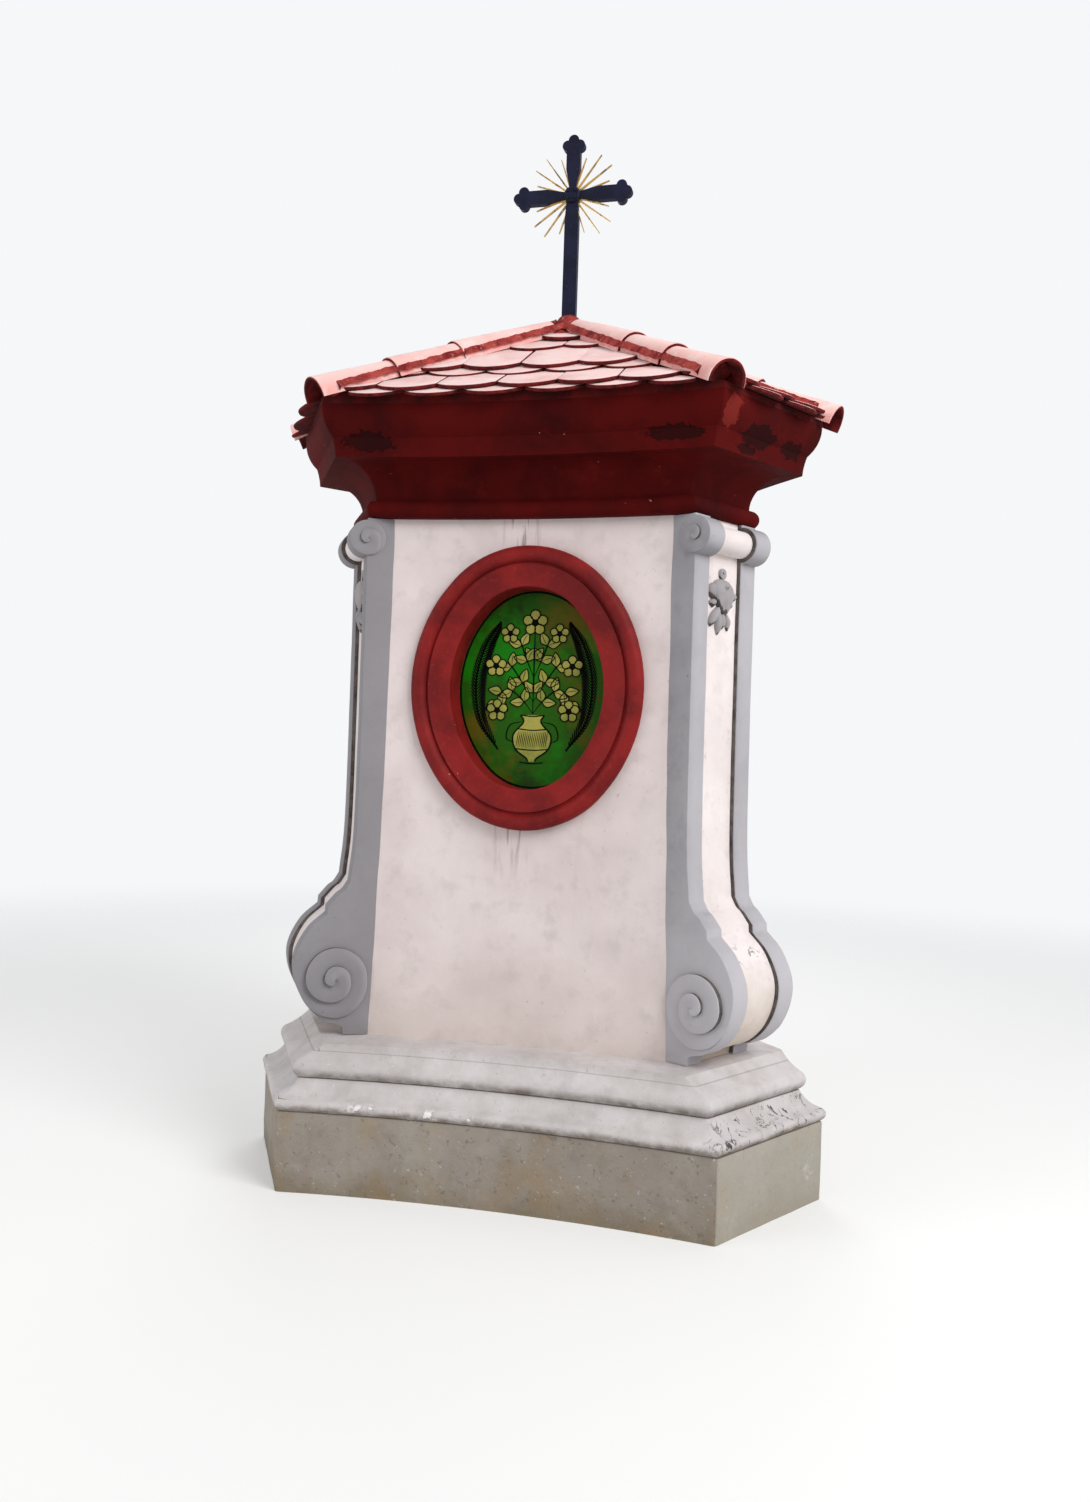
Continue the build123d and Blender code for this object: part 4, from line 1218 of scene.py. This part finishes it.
for corner_name, corner_deg in CORNERS.items():
    piece("ornament_" + corner_name + "_carved", carving(corner_deg), CARVED, "ornament_grey",
          "ornament_" + corner_name, sharp=45, second=SHADE_AND_DIRT)


# Painted glass: a plain ground with a generic vase of leafy boughs, mirrored left and right.
# Its paint lies in coats, each a little in front of the last
COAT, INK_UP, VASE_UP, BLOSSOM_UP, LEAF_UP = 0.0004, 0.0006, 0.0006, 0.0016, 0.0006
FINE, THIN, STEM, NEEDLE = 0.0019, 0.0026, 0.0052, 0.0056
GLASS_FRONT, GLASS_LAP, EDGE_IN, GLASS_POINTS = CORE_A + PICTURE_T, 0.001, 0.004, 24
LEAF_LONG, LEAF_WIDE = 0.050, 0.30
BOUGHS = [[(0, -0.078), (0.040, -0.030), (0.084, 0.000), (0.118, -0.020), (0.124, -0.058)],
          [(0, -0.040), (0.050, 0.040), (0.088, 0.086), (0.124, 0.084)],
          [(0, 0.040), (0.030, 0.110), (0.050, 0.160), (0.080, 0.180)]]
BLOSSOMS = [(0.122, -0.070, 0.036), (0.130, 0.078, 0.036), (0.084, 0.186, 0.032)]
FROND = [(0.116, -0.200), (0.182, -0.100), (0.198, 0.026), (0.170, 0.140), (0.118, 0.226)]
VASE = [(0.012, -0.238), (0.018, -0.226), (0.056, -0.196), (0.064, -0.150), (0.030, -0.108),
        (0.040, -0.084)]
VASE_EAR = [(0.060, -0.176), (0.088, -0.160), (0.076, -0.118), (0.036, -0.106)]
VASE_BANDS = [(-0.240, 0.040), (-0.196, 0.055), (-0.130, 0.048), (-0.084, 0.040)]


def mirrored(line, side):
    return [(side * x, z) for x, z in line]


def upright(line, depth):
    """Points about the middle of the picture as points of space."""
    return [(x, -depth, OVAL_Z + z) for x, z in line]


def glass():
    """Oval sheet in rings that laps behind the frame, with its rim bent back."""
    bm = bmesh.new()
    edge = oval(FRAME_W - GLASS_LAP, GLASS_POINTS)
    rings = [upright([(x * share, z * share) for x, z in edge], GLASS_FRONT)
             for share in (0.15, 0.4, 0.65, 0.85, 1.0)]
    rings.append(upright(edge, CORE_A + 0.001))
    first = sheet(bm, rings)[0]
    centre = bm.verts.new((0, -GLASS_FRONT, OVAL_Z))
    for k, vert in enumerate(first):
        bm.faces.new((first[k - 1], vert, centre))
    return bm


def ribbon(bm, line, half, depth):
    """Flat painted stroke along a line; half is its half width, or one for each point."""
    half = half if isinstance(half, list) else [half] * len(line)
    sheet(bm, [upright(moved(line, [side * w for w in half], closed=False), depth)
               for side in (-1, 1)], closed=False)


def stroke(bm, points, wide, depth, count=10, fade=True):
    """Ribbon along a smooth curve, thinner at its ends if it fades."""
    line = smooth_line(points, count)
    last = len(line) - 1
    ribbon(bm, line, [wide / 2 * (0.35 + 0.65 * sin(pi * (k / last)) if fade else 1.0)
                      for k in range(last + 1)], depth)


def patch(bm, outline, depth):
    """Flat filled shape."""
    bm.faces.new([bm.verts.new(p) for p in upright(outline, depth)])


def leaf(ink, pale, x, z, angle, depth):
    """Filled leaf with an inked outline and midrib, pointing at angle degrees."""
    c, s = cos(radians(angle)), sin(radians(angle))
    length, wide = LEAF_LONG, LEAF_LONG * LEAF_WIDE
    depth += LEAF_UP * abs(sin(900 * x + 700 * z + angle))

    def at(along, off):
        return (x + along * c - off * s, z + along * s + off * c)
    rims = [smooth_line([at(0, 0), at(length * 0.35, side * wide),
                         at(length * 0.75, side * wide * 0.6), at(length, 0)], 5)
            for side in (1, -1)]
    patch(pale, rims[0] + rims[1][-2:0:-1], depth)
    for rim in rims:
        ribbon(ink, rim, FINE, depth + COAT)
    stroke(ink, [at(length * 0.05, 0), at(length * 0.5, 0.002), at(length * 0.85, 0)], 0.0022,
           depth + COAT, 4)


def blossom(ink, pale, x, z, size, depth):
    """Five filled round petals about a dark heart."""
    for k in range(5):
        a = radians(90 + 72 * k)
        ring = circle(x + size * 0.62 * cos(a), z + size * 0.62 * sin(a), size * 0.40, 14, a + pi)
        patch(pale, ring, depth + 0.0001 * k)
        ribbon(ink, ring + ring[:1], FINE, depth + 2 * COAT)
    patch(ink, circle(x, z, size * 0.24, 12), depth + 0.0010)


def plume(ink, side, depth):
    """Dark fern frond that curves up along one edge of the oval."""
    spine = smooth_line(mirrored(FROND, side), 12)
    ribbon(ink, spine, 0.0036, depth)
    last = len(spine) - 1
    for k in range(2, last):
        x, z = spine[k]
        (ax, az), (bx, bz) = spine[k - 1], spine[k + 1]
        heading = atan2(bz - az, bx - ax)
        reach = 0.060 * sin(pi * k / last) ** 0.7
        for lean in (0.75, -0.75):
            room = reach * (0.42 if lean * side < 0 else 1.0)
            c, s = cos(heading + lean), sin(heading + lean)
            stroke(ink, [(x, z), (x + room * 0.5 * c, z + room * 0.5 * s),
                         (x + room * c, z + room * (s + 0.18))], NEEDLE, depth, 3)


def vase(ink, pale, depth):
    """Round-bellied vase on a foot, banded and hatched, with two ears."""
    half = smooth_line(VASE, 7)
    patch(pale, half + mirrored(half[::-1], -1), depth)
    for side in (1, -1):
        ribbon(ink, mirrored(half, side), THIN, depth + COAT)
        stroke(ink, mirrored(VASE_EAR, side), 0.0042, depth, 8)
    for z, wide in VASE_BANDS:
        stroke(ink, [(-wide, z), (0, z - 0.004), (wide, z)], 0.0040, depth + COAT, 8, False)
    for k in range(-8, 9):
        x = k * 0.0062
        stroke(ink, [(x - 0.004, -0.190), (x, -0.164), (x + 0.004, -0.138)], THIN,
               depth + COAT, 3)


def bough(ink, pale, points, depth):
    """Curling stem with a pair of leaves at every eleventh point."""
    stroke(ink, points, STEM, depth, 12)
    line = smooth_line(points, 12)
    for j in range(9, len(line) - 6, 11):
        (ax, az), (bx, bz) = line[j], line[j + 2]
        heading = degrees(atan2(bz - az, bx - ax))
        for lean in (50, -50):
            leaf(ink, pale, ax, az, heading + lean, depth + COAT)


def picture(name, deg):
    ground, ink, pale = glass(), bmesh.new(), bmesh.new()
    over = GLASS_FRONT + INK_UP
    edge = oval(FRAME_W + EDGE_IN, GLASS_POINTS)
    ribbon(ink, edge + edge[:1], 0.0035, over)
    stroke(ink, [(0, -0.084), (0, 0.02), (0, 0.13), (0, 0.205)], STEM, over)
    for side in (1, -1):
        plume(ink, side, over)
        for points in BOUGHS:
            bough(ink, pale, mirrored(points, side), over)
        for x, z, size in BLOSSOMS:
            blossom(ink, pale, side * x, z, size, over + BLOSSOM_UP)
    for z in (-0.01, 0.10):
        for lean in (52, 128):
            leaf(ink, pale, 0, z, lean, over + COAT)
    blossom(ink, pale, 0, 0.222, 0.042, over + BLOSSOM_UP)
    vase(ink, pale, over + VASE_UP)
    for bm in (ground, ink, pale):
        spin(bm, deg)
    piece("picture_" + name + "_glass", ground, GLASS, "picture_glass", "picture_" + name)
    piece("picture_" + name + "_ink", ink, INK, "picture_glass")
    piece("picture_" + name + "_lights", pale, PALE, "picture_glass")


for side_name, side_deg in SIDES.items():
    picture(side_name, side_deg)


# Finishes of the CAD nodes that stay
def dress(node, material):
    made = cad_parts[node]
    made.data.materials.clear()
    made.data.materials.append(material)


dress("body", WALL)
dress("roof_deck", DECK)
for bar in ("cross_shaft", "cross_arms", "cross_boss"):
    dress(bar, IRON)
dress("cross_rays", GILT)
